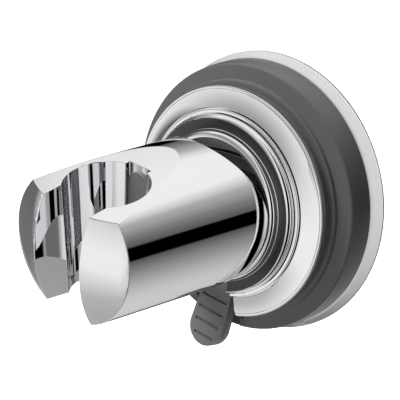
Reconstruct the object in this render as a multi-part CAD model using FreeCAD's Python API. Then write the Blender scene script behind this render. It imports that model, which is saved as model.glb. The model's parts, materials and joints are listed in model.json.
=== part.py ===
import FreeCAD, Part
import math
import os

from FreeCAD import Vector

# Hand shower holder that clings to a smooth wall by a lever-drawn suction cup.
# Millimetres. The wall is the plane y = 0, the holder stands out along -Y and +Z is up.
# The origin is the centre of the wall face. "Out" in the names below is the distance from the wall.

# Arm: a slightly tapered round bar with a domed front, level with the cup's axis
ARM_RADIUS_AT_WALL = 23.56
ARM_TAPER = 0.0283
ARM_DOME_OUT = 50.6
ARM_DOME_RISE = 3.0
ARM_DOME_RADIUS = 38.45
ARM_END_OUT = 54.3
ARM_END_RISE = 1.5
ARM_END_RADIUS = 27.0

# Flat on the top of the arm, sloping down to the front
FLAT_OUT = 83.6
FLAT_RISE = 13.95
FLAT_SLOPE = 0.23

# Tapered socket for the hand shower, leaning forward at its top, open to the front by a slot
SOCKET_OUT = 72.55
SOCKET_RISE = 16.4
SOCKET_LEAN = 11.2
SOCKET_RADIUS = 11.8
SOCKET_HALF_TAPER = 1.45
SLOT_WIDTH = 17.0

# Groove down the back of the socket, and the soft strip set in it
GROOVE_WIDTH = 8.0
GROOVE_DEPTH = 0.85
GROOVE_FOOT_RISE = -14.0
STRIP_THICKNESS = 0.7
STRIP_TOP_RISE = 17.2
STRIP_SIDE_CLEARANCE = 0.12

# Tilting knuckle inside the arm
TILT_OUT = 45.0
TILT_LIMIT = 15.0
KNUCKLE_RADIUS = 5.5
KNUCKLE_LENGTH = 17.6
KNUCKLE_CLEARANCE = 0.05
POCKET_END_CLEARANCE = 0.4
STEM_RADIUS = 4.0
STEM_SIDE_CLEARANCE = 0.4
SHOE_SEAT_WALL = 1.65
SHOE_HEIGHT = 18.4
SHOE_CLEARANCE = 0.15
PLATE_REAR_OUT = 34.0
PLATE_FRONT_OUT = 39.8
PLATE_SEAT_SETBACK = 2.0
SHOE_SETBACK = 1.8
PLATE_SCREW_PITCH = 21.8
PLATE_SCREW_RADIUS = 1.5
PLATE_SCREW_HEAD_RADIUS = 2.6
PLATE_SCREW_HEAD = 1.6
PLATE_SCREW_EDGE = 0.8
PLATE_SCREW_TIP_OUT = 48.0
CLAMP_SCREW_RADIUS = 2.0
CLAMP_SCREW_LENGTH = 3.9
CLAMP_KEY_RADIUS = 1.0
CLAMP_KEY_DEPTH = 1.6
SCREW_CLEARANCE = 0.05

# Neck: the chrome cup in front of the base, with the rolled bead round its foot
NECK_FACE_OUT = 26.2
NECK_RADIUS = 22.9
NECK_WALL = 2.5
NECK_FRONT_WALL = 2.3
NECK_EDGE_RADIUS = 2.2
NECK_FLARE_RADIUS = 0.6
NECK_FLARE_SWEEP = 60.0
BEAD_OUT = 21.9
BEAD_MID_RADIUS = 25.0
BEAD_RADIUS = 2.4
BEAD_INNER_RADIUS = 26.3
BEAD_UNDERSIDE_OUT = 19.5

# Foot ring: the dark ring in the hollow between the neck's flare and its bead
FOOT_RING_FLOOR_OUT = 21.6
FOOT_RING_SINK = 0.1
FOOT_RING_GAP = 0.05

# Stem shoulder and its lock nut in the neck's front wall
SHOULDER_RADIUS = 7.0
SHOULDER_DEPTH = 1.0
LOCK_WASHER_RADIUS = 7.0
LOCK_WASHER_THICKNESS = 0.6
LOCK_NUT_FLATS = 12.0
LOCK_NUT_THICKNESS = 2.0

# Screws that hold the neck to the housing, from behind
NECK_SCREW_CIRCLE = 17.5
NECK_SCREW_ANGLES = (90.0, 200.0, 340.0)
NECK_SCREW_RADIUS = 1.4
NECK_SCREW_HEAD_RADIUS = 2.7
NECK_SCREW_HEAD = 1.6
NECK_SCREW_TIP_OUT = 21.0
NECK_BOSS_RADIUS = 2.7

# Trim ring in the groove between the bead and the cover
TRIM_GAP = 0.12
TRIM_WIDTH = 1.15
TRIM_FRONT_OUT = 21.5
TRIM_EDGE_RADIUS = 0.45

# Base cover: a dished chrome plate
COVER_RADIUS = 35.3
COVER_FRONT_OUT = 20.75
COVER_RIM_OUT = 19.0
COVER_RIM_REAR_OUT = 17.3
COVER_DISH = 0.2
COVER_RIM_BEAD = 0.25
COVER_SHELF_THICKNESS = 1.5
COVER_THICKNESS = 1.45
COVER_NOTCH_WIDTH = 20.6
COVER_NOTCH_CORNER = 2.2
NECK_NOTCH_WIDTH = 18.8

# Housing: the dark bell that presses the cup to the wall
HOUSING_RIM_OUT = 4.0
HOUSING_REAR_RADIUS = 41.7
HOUSING_DRAFT = 0.65
HOUSING_SHOULDER_OUT = 12.4
HOUSING_LEDGE = 4.45
HOUSING_STEP_OUT = 13.4
HOUSING_STEP_HEIGHT = 1.3
HOUSING_TOWER_SETBACK = 1.8
HOUSING_TOWER_OUT = 17.1
HOUSING_TOWER_WALL = 1.9
HOUSING_WALL = 3.0
DECK_OUT = 12.0
DECK_THICKNESS = 2.2
GUIDE_OUT = 16.2
GUIDE_WALL = 2.2
GUIDE_CLEARANCE = 0.3
CHANNEL_WIDTH = 17.6
CHANNEL_FLOOR_OUT = 9.4
CHANNEL_WALL = 1.2
CHANNEL_LIP_OUT = 11.3
CHANNEL_CLEARANCE = 0.3
CHANNEL_HEADROOM = 1.3

# Suction cup, with its middle drawn off the wall
CUP_RADIUS = 43.7
CUP_LIP = 0.9
CUP_FRONT_OUT = 3.95
CUP_FRONT_RADIUS = 41.9
CUP_SEAL_INNER_RADIUS = 32.0
CUP_BOSS_OUT = 6.4
CUP_BOSS_RADIUS = 14.0

# Anchor disc and threaded stem of the cup, the plate that draws it, and its nut
ANCHOR_RADIUS = 10.0
ANCHOR_THICKNESS = 1.6
ANCHOR_FACE_OUT = 3.0
ANCHOR_SHOULDER_RADIUS = 4.2
ANCHOR_THREAD_RADIUS = 2.5
DRAW_TRAVEL = 2.0
DRAW_PLATE_RADIUS = 13.5
DRAW_PLATE_THICKNESS = 2.0
DRAW_BOSS_RADIUS = 5.0
DRAW_BOSS_FOOT_OUT = 9.0
DRAW_NUT_FLATS = 8.0
DRAW_NUT_THICKNESS = 1.6
DRAW_NUT_CLEARANCE = 0.15
FORK_INNER_WIDTH = 10.2
FORK_END_RISE = -18.2

# Cam lever and its hinge pin
PIN_OUT = 14.0
PIN_RISE = -18.0
PIN_RADIUS = 1.25
PIN_CLEARANCE = 0.05
LEVER_SWING = 50.0
CAM_REACH = 4.85
CAM_CLEARANCE = 0.1
HUB_RADIUS = 2.9
HUB_LENGTH = 16.8
EAR_GAP = 0.5
EAR_THICKNESS = 2.4
EAR_HALF_HEIGHT = 2.7
EAR_FRONT_OUT = 17.2
LEVER_NECK_WIDTH = 9.2
PADDLE_TOP_RISE = -29.8
PADDLE_TOP_OUT = 15.25
PADDLE_LEAN = 12.2
PADDLE_TOP_WIDTH = 11.6
LEVER_KINK_RISE = 4.2
PADDLE_END_RADIUS = 6.4
PADDLE_LENGTH = 19.3
PADDLE_THICKNESS = 5.0
PADDLE_FACE_THICKNESS = 1.2
PADDLE_SEAM = 0.35
RIB_COUNT = 4
RIB_FIRST = 3.4
RIB_PITCH = 4.25
RIB_GROOVE_WIDTH = 0.9
RIB_GROOVE_DEPTH = 0.55
RIB_LENGTH = 9.8
RIB_LAST_LENGTH = 7.7

X_AXIS = Vector(1, 0, 0)
OUTWARD = Vector(0, -1, 0)
BEYOND = 40.0
SOCKET_AXIS = Vector(0, -math.sin(math.radians(SOCKET_LEAN)), math.cos(math.radians(SOCKET_LEAN)))


def at(x, out, rise):
    """Point at x, at the distance out from the wall, at the height rise."""
    return Vector(x, -out, rise)


def block(width, out, rise):
    """Box centred on x, between two distances from the wall and two heights."""
    corner = at(-width / 2, out[1], rise[0])
    return Part.makeBox(width, out[1] - out[0], rise[1] - rise[0], corner)


def disc(radius, out, centre=(0.0, 0.0)):
    """Round bar along the holder's axis between two distances from the wall."""
    base = at(centre[0], out[0], centre[1])
    return Part.makeCylinder(radius, out[1] - out[0], base, OUTWARD)


def cross_bar(radius, length, out, rise):
    """Round bar along X, centred on x = 0."""
    return Part.makeCylinder(radius, length, at(-length / 2, out, rise), X_AXIS)


def turned(edges):
    """Solid of revolution about the holder's axis, from edges in the plane of radius and out."""
    face = Part.Face(Part.Wire(edges))
    return face.revolve(Vector(0, 0, 0), Vector(0, 1, 0), 360)


def outline(points):
    """Edges through (radius, out) points; a point given as ("arc", middle, end) bends the edge."""
    edges = []
    first = at(points[0][0], points[0][1], 0)
    here = first
    for point in points[1:]:
        if point[0] == "arc":
            middle = at(point[1][0], point[1][1], 0)
            there = at(point[2][0], point[2][1], 0)
            edges.append(Part.Arc(here, middle, there).toShape())
        else:
            there = at(point[0], point[1], 0)
            edges.append(Part.makeLine(here, there))
        here = there
    edges.append(Part.makeLine(here, first))
    return edges


def side_plate(points, width):
    """Plate of constant width in x from (rise, out) points of its side view."""
    corners = [at(-width / 2, out, rise) for rise, out in points]
    face = Part.Face(Part.makePolygon(corners + corners[:1]))
    return face.extrude(Vector(width, 0, 0))


def hexagon(flats, out):
    """Hexagonal bar along the holder's axis."""
    corner = flats / math.sqrt(3.0)
    points = []
    for step in range(7):
        angle = math.radians(60.0 * step)
        points.append(at(corner * math.cos(angle), out[0], corner * math.sin(angle)))
    return Part.Face(Part.makePolygon(points)).extrude(OUTWARD * (out[1] - out[0]))


def corner_arc(start, centre, end, radius):
    """Middle point of a short arc about a centre, between two points of (radius, out)."""
    mid_r = (start[0] + end[0]) / 2 - centre[0]
    mid_o = (start[1] + end[1]) / 2 - centre[1]
    scale = radius / math.hypot(mid_r, mid_o)
    return (centre[0] + mid_r * scale, centre[1] + mid_o * scale)


def arm_radius(out):
    return ARM_RADIUS_AT_WALL - ARM_TAPER * out


def groove_back(rise):
    """Distance from the wall of the socket groove's back, at a height on the centre line."""
    lean = math.radians(SOCKET_LEAN - SOCKET_HALF_TAPER)
    mouth_back = SOCKET_OUT - SOCKET_RADIUS / math.cos(math.radians(SOCKET_LEAN)) - GROOVE_DEPTH
    return mouth_back + (rise - SOCKET_RISE) * math.tan(lean)


POCKET_HEIGHT = SHOE_HEIGHT + 2 * SHOE_CLEARANCE
SHOE_WIDTH = KNUCKLE_LENGTH + 2 * POCKET_END_CLEARANCE
SHOE_FRONT_OUT = TILT_OUT + KNUCKLE_RADIUS + KNUCKLE_CLEARANCE + SHOE_SEAT_WALL
PLATE_POCKET_OUT = PLATE_FRONT_OUT + SHOE_CLEARANCE
PLATE_SCREW_SIDES = (-PLATE_SCREW_PITCH / 2, PLATE_SCREW_PITCH / 2)
PLATE_WIDTH = PLATE_SCREW_PITCH + 2 * (PLATE_SCREW_HEAD_RADIUS + PLATE_SCREW_EDGE)
NECK_INNER_RADIUS = NECK_RADIUS - NECK_WALL
NECK_INSIDE_OUT = NECK_FACE_OUT - NECK_FRONT_WALL
DECK_REAR_OUT = DECK_OUT - DECK_THICKNESS
HOUSING_FRONT_RADIUS = HOUSING_REAR_RADIUS - HOUSING_DRAFT
HOUSING_STEP_RADIUS = HOUSING_FRONT_RADIUS - HOUSING_LEDGE
HOUSING_TOWER_RADIUS = HOUSING_STEP_RADIUS - HOUSING_TOWER_SETBACK
DRAW_PLATE_REAR_OUT = PIN_OUT + CAM_REACH + CAM_CLEARANCE
DRAW_PLATE_FRONT_OUT = DRAW_PLATE_REAR_OUT + DRAW_PLATE_THICKNESS
FLARE_END_RADIUS = NECK_RADIUS + NECK_FLARE_RADIUS * (1 - math.cos(math.radians(NECK_FLARE_SWEEP)))
FLARE_START_OUT = NECK_FACE_OUT - NECK_EDGE_RADIUS
FLARE_END_OUT = FLARE_START_OUT - NECK_FLARE_RADIUS * math.sin(math.radians(NECK_FLARE_SWEEP))
BEAD_OUTER_RADIUS = BEAD_MID_RADIUS + BEAD_RADIUS
BEAD_CREST_OUT = BEAD_OUT + math.sqrt(BEAD_RADIUS ** 2 - (BEAD_INNER_RADIUS - BEAD_MID_RADIUS) ** 2)
TRIM_INNER_RADIUS = BEAD_OUTER_RADIUS + TRIM_GAP
TRIM_OUTER_RADIUS = TRIM_INNER_RADIUS + TRIM_WIDTH
COVER_SHELF_OUT = BEAD_UNDERSIDE_OUT
COVER_SHELF_REAR_OUT = COVER_SHELF_OUT - COVER_SHELF_THICKNESS


def arm_bar():
    """The tapered bar with its domed front and its rounded rear end."""
    rear = TILT_OUT / 2
    length = ARM_DOME_OUT + ARM_DOME_RADIUS - rear + 1.0
    front = rear + length
    bar = Part.makeCone(arm_radius(rear), arm_radius(front), length, at(0, rear, 0), OUTWARD)
    bar = bar.common(Part.makeSphere(ARM_DOME_RADIUS, at(0, ARM_DOME_OUT, ARM_DOME_RISE)))
    behind = block(2 * BEYOND, (0.0, ARM_END_OUT), (-BEYOND, BEYOND))
    end = cross_bar(ARM_END_RADIUS, 2 * BEYOND, ARM_END_OUT, ARM_END_RISE)
    bar = bar.cut(behind.cut(end))
    high = FLAT_RISE + FLAT_SLOPE * BEYOND
    low = FLAT_RISE - FLAT_SLOPE * BEYOND / 2
    above = [(high, FLAT_OUT - BEYOND), (low, FLAT_OUT + BEYOND / 2),
             (2 * BEYOND, FLAT_OUT + BEYOND / 2), (2 * BEYOND, FLAT_OUT - BEYOND)]
    return bar.cut(side_plate(above, 2 * BEYOND))


def socket_void():
    """The tapered socket with its front slot."""
    above = SOCKET_RADIUS
    depth = SOCKET_RISE + ARM_RADIUS_AT_WALL + SOCKET_RADIUS
    taper = math.tan(math.radians(SOCKET_HALF_TAPER))
    mouth = at(0, SOCKET_OUT, SOCKET_RISE)
    foot = mouth - SOCKET_AXIS * depth
    low = SOCKET_RADIUS - taper * depth
    high = SOCKET_RADIUS + taper * above
    cone = Part.makeCone(low, high, depth + above, foot, SOCKET_AXIS)
    middle_out = SOCKET_OUT - SOCKET_RISE * math.tan(math.radians(SOCKET_LEAN))
    slot = block(SLOT_WIDTH, (middle_out, middle_out + BEYOND), (-BEYOND, BEYOND))
    return cone.fuse(slot)


def groove_void():
    """The groove down the back of the socket, closed at its foot."""
    top = SOCKET_RISE + SOCKET_RADIUS
    points = [(GROOVE_FOOT_RISE, groove_back(GROOVE_FOOT_RISE)), (top, groove_back(top)),
              (top, SOCKET_OUT), (GROOVE_FOOT_RISE, SOCKET_OUT - SOCKET_RADIUS / 2)]
    return side_plate(points, GROOVE_WIDTH)


def make_arm():
    arm = arm_bar().cut(socket_void()).cut(groove_void())
    half = POCKET_HEIGHT / 2
    arm = arm.cut(block(PLATE_WIDTH + 2 * SHOE_CLEARANCE, (0.0, PLATE_POCKET_OUT), (-half, half)))
    arm = arm.cut(block(SHOE_WIDTH, (PLATE_REAR_OUT, SHOE_FRONT_OUT), (-half, half)))
    for side in PLATE_SCREW_SIDES:
        hole = disc(PLATE_SCREW_RADIUS + SCREW_CLEARANCE, (PLATE_FRONT_OUT, PLATE_SCREW_TIP_OUT + 0.5), (side, 0))
        arm = arm.cut(hole)
    clamp = disc(CLAMP_SCREW_RADIUS + SCREW_CLEARANCE, (SHOE_FRONT_OUT - 1.0, SOCKET_OUT - SOCKET_RADIUS))
    return arm.cut(clamp)


def make_grip_strip():
    """Strip with a round top in the socket's groove."""
    width = GROOVE_WIDTH - 2 * STRIP_SIDE_CLEARANCE
    low = GROOVE_FOOT_RISE + STRIP_SIDE_CLEARANCE
    high = STRIP_TOP_RISE
    points = [(low, groove_back(low)), (high, groove_back(high)),
              (high, groove_back(high) + STRIP_THICKNESS), (low, groove_back(low) + STRIP_THICKNESS)]
    strip = side_plate(points, width)
    centre = high - width / 2
    round_top = disc(width / 2, (0.0, 2 * BEYOND), (0, centre))
    straight = block(width, (0.0, 2 * BEYOND), (-BEYOND, centre))
    return strip.common(round_top.fuse(straight))


def make_clamp_screw():
    """Grub screw that presses the front shoe on the knuckle, with its key hole."""
    end = SHOE_FRONT_OUT + CLAMP_SCREW_LENGTH
    screw = disc(CLAMP_SCREW_RADIUS, (SHOE_FRONT_OUT, end))
    return screw.cut(disc(CLAMP_KEY_RADIUS, (end - CLAMP_KEY_DEPTH, end + 1.0)))


def knuckle_seat():
    length = KNUCKLE_LENGTH + 4 * POCKET_END_CLEARANCE
    return cross_bar(KNUCKLE_RADIUS + KNUCKLE_CLEARANCE, length, TILT_OUT, 0)


def make_front_shoe():
    """Friction shoe between the knuckle and the pocket's end."""
    width = SHOE_WIDTH - 2 * SHOE_CLEARANCE
    shoe = block(width, (TILT_OUT + SHOE_SETBACK, SHOE_FRONT_OUT), (-SHOE_HEIGHT / 2, SHOE_HEIGHT / 2))
    return shoe.cut(knuckle_seat())


def make_retaining_plate():
    """Plate with the rear half of the knuckle's seat, screwed in from behind."""
    half = SHOE_HEIGHT / 2
    plate = block(PLATE_WIDTH, (PLATE_REAR_OUT, PLATE_FRONT_OUT), (-half, half))
    plate = plate.fuse(block(SHOE_WIDTH - 2 * SHOE_CLEARANCE, (PLATE_REAR_OUT, TILT_OUT - PLATE_SEAT_SETBACK), (-half, half)))
    plate = plate.cut(knuckle_seat())
    swing = math.radians(TILT_LIMIT)
    reach = STEM_RADIUS / math.cos(swing) + STEM_SIDE_CLEARANCE
    wide = reach + (TILT_OUT - PLATE_REAR_OUT) * math.tan(swing)
    slot_points = [(-wide, PLATE_REAR_OUT - 1.0), (wide, PLATE_REAR_OUT - 1.0),
                   (reach, TILT_OUT), (-reach, TILT_OUT)]
    plate = plate.cut(side_plate(slot_points, 2 * (STEM_RADIUS + STEM_SIDE_CLEARANCE)))
    for side in PLATE_SCREW_SIDES:
        plate = plate.cut(disc(PLATE_SCREW_RADIUS + SCREW_CLEARANCE, (0.0, TILT_OUT), (side, 0)))
        head = (PLATE_REAR_OUT - 1.0, PLATE_REAR_OUT + PLATE_SCREW_HEAD)
        plate = plate.cut(disc(PLATE_SCREW_HEAD_RADIUS + SCREW_CLEARANCE, head, (side, 0)))
    return plate


def make_plate_screws():
    screws = []
    for side in PLATE_SCREW_SIDES:
        head_end = PLATE_REAR_OUT + PLATE_SCREW_HEAD
        head = disc(PLATE_SCREW_HEAD_RADIUS, (PLATE_REAR_OUT, head_end), (side, 0))
        shank = disc(PLATE_SCREW_RADIUS, (head_end - 0.5, PLATE_SCREW_TIP_OUT), (side, 0))
        key = block(0.8, (PLATE_REAR_OUT - 1.0, PLATE_REAR_OUT + 0.7), (-PLATE_SCREW_HEAD_RADIUS + 0.5,
                                                                       PLATE_SCREW_HEAD_RADIUS - 0.5))
        key.translate(Vector(side, 0, 0))
        screws.append(head.fuse(shank).cut(key))
    return Part.makeCompound(screws)


def make_tilt_stem():
    """Stem fixed in the neck, ending in the cross barrel that the arm tilts on."""
    shoulder_rear = NECK_FACE_OUT - SHOULDER_DEPTH
    thread_end = NECK_INSIDE_OUT - LOCK_WASHER_THICKNESS - LOCK_NUT_THICKNESS
    stem = disc(STEM_RADIUS, (thread_end, TILT_OUT))
    stem = stem.fuse(disc(SHOULDER_RADIUS, (shoulder_rear, NECK_FACE_OUT)))
    return stem.fuse(cross_bar(KNUCKLE_RADIUS, KNUCKLE_LENGTH, TILT_OUT, 0)).removeSplitter()


def make_lock_washer():
    rear = NECK_INSIDE_OUT - LOCK_WASHER_THICKNESS
    washer = disc(LOCK_WASHER_RADIUS, (rear, NECK_INSIDE_OUT))
    return washer.cut(disc(STEM_RADIUS + SCREW_CLEARANCE, (rear - 1.0, NECK_INSIDE_OUT + 1.0)))


def make_lock_nut():
    front = NECK_INSIDE_OUT - LOCK_WASHER_THICKNESS
    nut = hexagon(LOCK_NUT_FLATS, (front - LOCK_NUT_THICKNESS, front))
    return nut.cut(disc(STEM_RADIUS + SCREW_CLEARANCE, (front - LOCK_NUT_THICKNESS - 1.0, front + 1.0)))


def neck_screw_places():
    places = []
    for angle in NECK_SCREW_ANGLES:
        turn = math.radians(angle)
        places.append((NECK_SCREW_CIRCLE * math.cos(turn), NECK_SCREW_CIRCLE * math.sin(turn)))
    return places


def make_neck():
    """Chrome cup that flares to a hollow for the foot ring, inside the rolled bead."""
    edge_start = (NECK_RADIUS - NECK_EDGE_RADIUS, NECK_FACE_OUT)
    edge_end = (NECK_RADIUS, FLARE_START_OUT)
    edge_mid = corner_arc(edge_start, (edge_start[0], edge_end[1]), edge_end, NECK_EDGE_RADIUS)
    flare_end = (FLARE_END_RADIUS, FLARE_END_OUT)
    flare_mid = corner_arc(edge_end, (NECK_RADIUS + NECK_FLARE_RADIUS, FLARE_START_OUT), flare_end,
                           NECK_FLARE_RADIUS)
    crest = (BEAD_INNER_RADIUS, BEAD_CREST_OUT)
    bead_end = (BEAD_OUTER_RADIUS, BEAD_OUT)
    bead_mid = corner_arc(crest, (BEAD_MID_RADIUS, BEAD_OUT), bead_end, BEAD_RADIUS)
    neck = turned(outline([
        (0.0, NECK_FACE_OUT), edge_start, ("arc", edge_mid, edge_end), ("arc", flare_mid, flare_end),
        (FLARE_END_RADIUS, FOOT_RING_FLOOR_OUT), (BEAD_INNER_RADIUS, FOOT_RING_FLOOR_OUT), crest,
        ("arc", bead_mid, bead_end),
        (BEAD_OUTER_RADIUS, BEAD_UNDERSIDE_OUT), (NECK_RADIUS, BEAD_UNDERSIDE_OUT),
        (NECK_RADIUS, DECK_OUT), (NECK_INNER_RADIUS, DECK_OUT),
        (NECK_INNER_RADIUS, NECK_INSIDE_OUT), (0.0, NECK_INSIDE_OUT)]))
    for place in neck_screw_places():
        neck = neck.fuse(disc(NECK_BOSS_RADIUS, (DECK_OUT, NECK_INSIDE_OUT + 0.5), place))
    for place in neck_screw_places():
        neck = neck.cut(disc(NECK_SCREW_RADIUS + SCREW_CLEARANCE, (0.0, NECK_SCREW_TIP_OUT + 0.5), place))
    neck = neck.cut(disc(STEM_RADIUS + SCREW_CLEARANCE, (0.0, BEYOND)))
    neck = neck.cut(disc(SHOULDER_RADIUS + SCREW_CLEARANCE, (NECK_FACE_OUT - SHOULDER_DEPTH, BEYOND)))
    ears = HUB_LENGTH + 2 * (EAR_GAP + EAR_THICKNESS + EAR_GAP)
    neck = neck.cut(block(ears, (0.0, EAR_FRONT_OUT + EAR_GAP), (-BEYOND, PIN_RISE + EAR_HALF_HEIGHT + EAR_GAP)))
    inside = (0.0, NECK_INSIDE_OUT - EAR_GAP)
    neck = neck.cut(block(NECK_NOTCH_WIDTH, inside, (-BEYOND, PIN_RISE + CAM_REACH)))
    neck = neck.cut(block(NECK_NOTCH_WIDTH, (0.0, BEYOND), (-BEYOND, -NECK_RADIUS)))
    return neck.removeSplitter()


def make_neck_screws():
    screws = []
    head_front = DECK_REAR_OUT
    for place in neck_screw_places():
        head = disc(NECK_SCREW_HEAD_RADIUS, (head_front - NECK_SCREW_HEAD, head_front), place)
        shank = disc(NECK_SCREW_RADIUS, (head_front - 0.5, NECK_SCREW_TIP_OUT), place)
        key = disc(NECK_SCREW_RADIUS / 2, (0.0, head_front - NECK_SCREW_HEAD / 2), place)
        screws.append(head.fuse(shank).cut(key))
    return Part.makeCompound(screws)


def make_foot_ring():
    """Ring notched at its foot for the lever."""
    inner = FLARE_END_RADIUS + FOOT_RING_GAP
    outer = BEAD_INNER_RADIUS - FOOT_RING_GAP
    ring = turned(outline([(inner, FOOT_RING_FLOOR_OUT), (inner, FLARE_END_OUT - FOOT_RING_SINK),
                           (outer, BEAD_CREST_OUT - FOOT_RING_SINK), (outer, FOOT_RING_FLOOR_OUT)]))
    return ring.cut(block(NECK_NOTCH_WIDTH, (0.0, BEYOND), (-BEYOND, 0.0)))


def make_trim_ring():
    start = (TRIM_INNER_RADIUS, TRIM_FRONT_OUT)
    edge = (TRIM_OUTER_RADIUS - TRIM_EDGE_RADIUS, TRIM_FRONT_OUT)
    side = (TRIM_OUTER_RADIUS, TRIM_FRONT_OUT - TRIM_EDGE_RADIUS)
    middle = corner_arc(edge, (edge[0], side[1]), side, TRIM_EDGE_RADIUS)
    ring = turned(outline([start, edge, ("arc", middle, side), (TRIM_OUTER_RADIUS, COVER_SHELF_OUT),
                           (TRIM_INNER_RADIUS, COVER_SHELF_OUT)]))
    return ring.cut(block(NECK_NOTCH_WIDTH, (0.0, BEYOND), (-BEYOND, 0.0)))


def make_cover():
    """Dished plate on a flat shelf, notched at its foot for the lever."""
    inner = NECK_RADIUS + TRIM_GAP
    wall = TRIM_OUTER_RADIUS + TRIM_GAP
    dish_start = (wall + 0.35, COVER_FRONT_OUT)
    dish_end = (COVER_RADIUS - 1.0, COVER_RIM_OUT)
    dish_mid = ((dish_start[0] + dish_end[0]) / 2, (dish_start[1] + dish_end[1]) / 2 - COVER_DISH)
    bead_top = (COVER_RADIUS - 0.55, COVER_RIM_OUT + COVER_RIM_BEAD)
    rim = (COVER_RADIUS, COVER_RIM_OUT - 0.35)
    cover = turned(outline([
        (inner, COVER_SHELF_REAR_OUT), (inner, COVER_SHELF_OUT), (wall, COVER_SHELF_OUT),
        (wall, COVER_FRONT_OUT - 0.25), dish_start, ("arc", dish_mid, dish_end),
        ("arc", bead_top, rim), (COVER_RADIUS, COVER_RIM_REAR_OUT),
        (COVER_RADIUS - 0.9, COVER_RIM_REAR_OUT), (dish_end[0], COVER_RIM_OUT - COVER_THICKNESS),
        (wall + 2.0, COVER_FRONT_OUT - 0.4 - COVER_THICKNESS), (wall + 1.3, COVER_SHELF_REAR_OUT)]))
    half = COVER_NOTCH_WIDTH / 2
    cover = cover.cut(block(COVER_NOTCH_WIDTH, (0.0, BEYOND), (-BEYOND, 0.0)))
    edge_rise = -math.sqrt(COVER_RADIUS ** 2 - half ** 2)
    for side in (-1, 1):
        size = COVER_NOTCH_CORNER
        centre = (side * (half + size), edge_rise + size * 1.15)
        square = block(size, (0.0, BEYOND), (edge_rise - 2 * size, centre[1]))
        square.translate(Vector(side * (half + size / 2), 0, 0))
        cover = cover.cut(square.cut(disc(size, (0.0, BEYOND), centre)))
    return cover


def housing_bell():
    """The turned shape of the housing."""
    bulge = ((HOUSING_REAR_RADIUS + HOUSING_FRONT_RADIUS) / 2 + 0.25, (HOUSING_RIM_OUT + HOUSING_SHOULDER_OUT) / 2)
    step_top = HOUSING_STEP_OUT + HOUSING_STEP_HEIGHT
    tower_inner = HOUSING_TOWER_RADIUS - HOUSING_TOWER_WALL
    inner = HOUSING_REAR_RADIUS - HOUSING_WALL
    return turned(outline([
        (0.0, DECK_REAR_OUT), (0.0, DECK_OUT), (tower_inner, DECK_OUT), (tower_inner, HOUSING_TOWER_OUT),
        (HOUSING_TOWER_RADIUS, HOUSING_TOWER_OUT), (HOUSING_TOWER_RADIUS, step_top + 0.3),
        (HOUSING_STEP_RADIUS - 0.6, step_top), (HOUSING_STEP_RADIUS, step_top - 0.6),
        (HOUSING_STEP_RADIUS, HOUSING_STEP_OUT), (HOUSING_FRONT_RADIUS - 0.7, HOUSING_SHOULDER_OUT + 0.15),
        ("arc", (HOUSING_FRONT_RADIUS - 0.15, HOUSING_SHOULDER_OUT - 0.1),
         (HOUSING_FRONT_RADIUS, HOUSING_SHOULDER_OUT - 0.7)),
        ("arc", bulge, (HOUSING_REAR_RADIUS, HOUSING_RIM_OUT + 0.3)),
        (HOUSING_REAR_RADIUS - 0.3, HOUSING_RIM_OUT), (inner, HOUSING_RIM_OUT), (inner, DECK_REAR_OUT)]))


def make_housing():
    bell = housing_bell()
    guide_bore = DRAW_BOSS_RADIUS + GUIDE_CLEARANCE
    bell = bell.fuse(disc(guide_bore + GUIDE_WALL, (DECK_REAR_OUT, GUIDE_OUT)))
    bell = bell.cut(disc(guide_bore, (0.0, BEYOND)))
    tray_half = CHANNEL_WIDTH / 2 + CHANNEL_WALL
    tray_end = -math.sqrt((HOUSING_REAR_RADIUS - HOUSING_WALL / 2) ** 2 - tray_half ** 2)
    channel_top = PIN_RISE + CAM_REACH + CHANNEL_HEADROOM
    lean = math.radians(PADDLE_LEAN)
    paddle_back = PADDLE_TOP_OUT - PADDLE_THICKNESS / math.cos(lean)
    floor_end = PADDLE_TOP_RISE - (CHANNEL_LIP_OUT + CHANNEL_CLEARANCE - paddle_back) / math.tan(lean)
    tray = block(2 * tray_half, (CHANNEL_FLOOR_OUT - CHANNEL_WALL, DECK_OUT),
                 (tray_end, channel_top + CHANNEL_WALL))
    bell = bell.fuse(tray)
    bell = bell.cut(block(CHANNEL_WIDTH, (CHANNEL_FLOOR_OUT, BEYOND), (floor_end, channel_top)))
    bell = bell.cut(block(CHANNEL_WIDTH, (CHANNEL_LIP_OUT, BEYOND), (-2 * BEYOND, channel_top)))
    bell = bell.cut(block(COVER_NOTCH_WIDTH, (DECK_OUT, BEYOND), (-HOUSING_STEP_RADIUS, -NECK_RADIUS)))
    for place in neck_screw_places():
        bell = bell.cut(disc(NECK_SCREW_RADIUS + 2 * SCREW_CLEARANCE, (0.0, BEYOND), place))
    ear_inner = HUB_LENGTH / 2 + EAR_GAP
    rise = (PIN_RISE - EAR_HALF_HEIGHT, PIN_RISE + EAR_HALF_HEIGHT)
    for side in (-1, 1):
        ear = block(EAR_THICKNESS, (DECK_REAR_OUT, EAR_FRONT_OUT), rise)
        ear.translate(Vector(side * (ear_inner + EAR_THICKNESS / 2), 0, 0))
        bell = bell.fuse(ear)
    bell = bell.cut(cross_bar(PIN_RADIUS + PIN_CLEARANCE / 2, BEYOND, PIN_OUT, PIN_RISE))
    return bell.removeSplitter()


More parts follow.
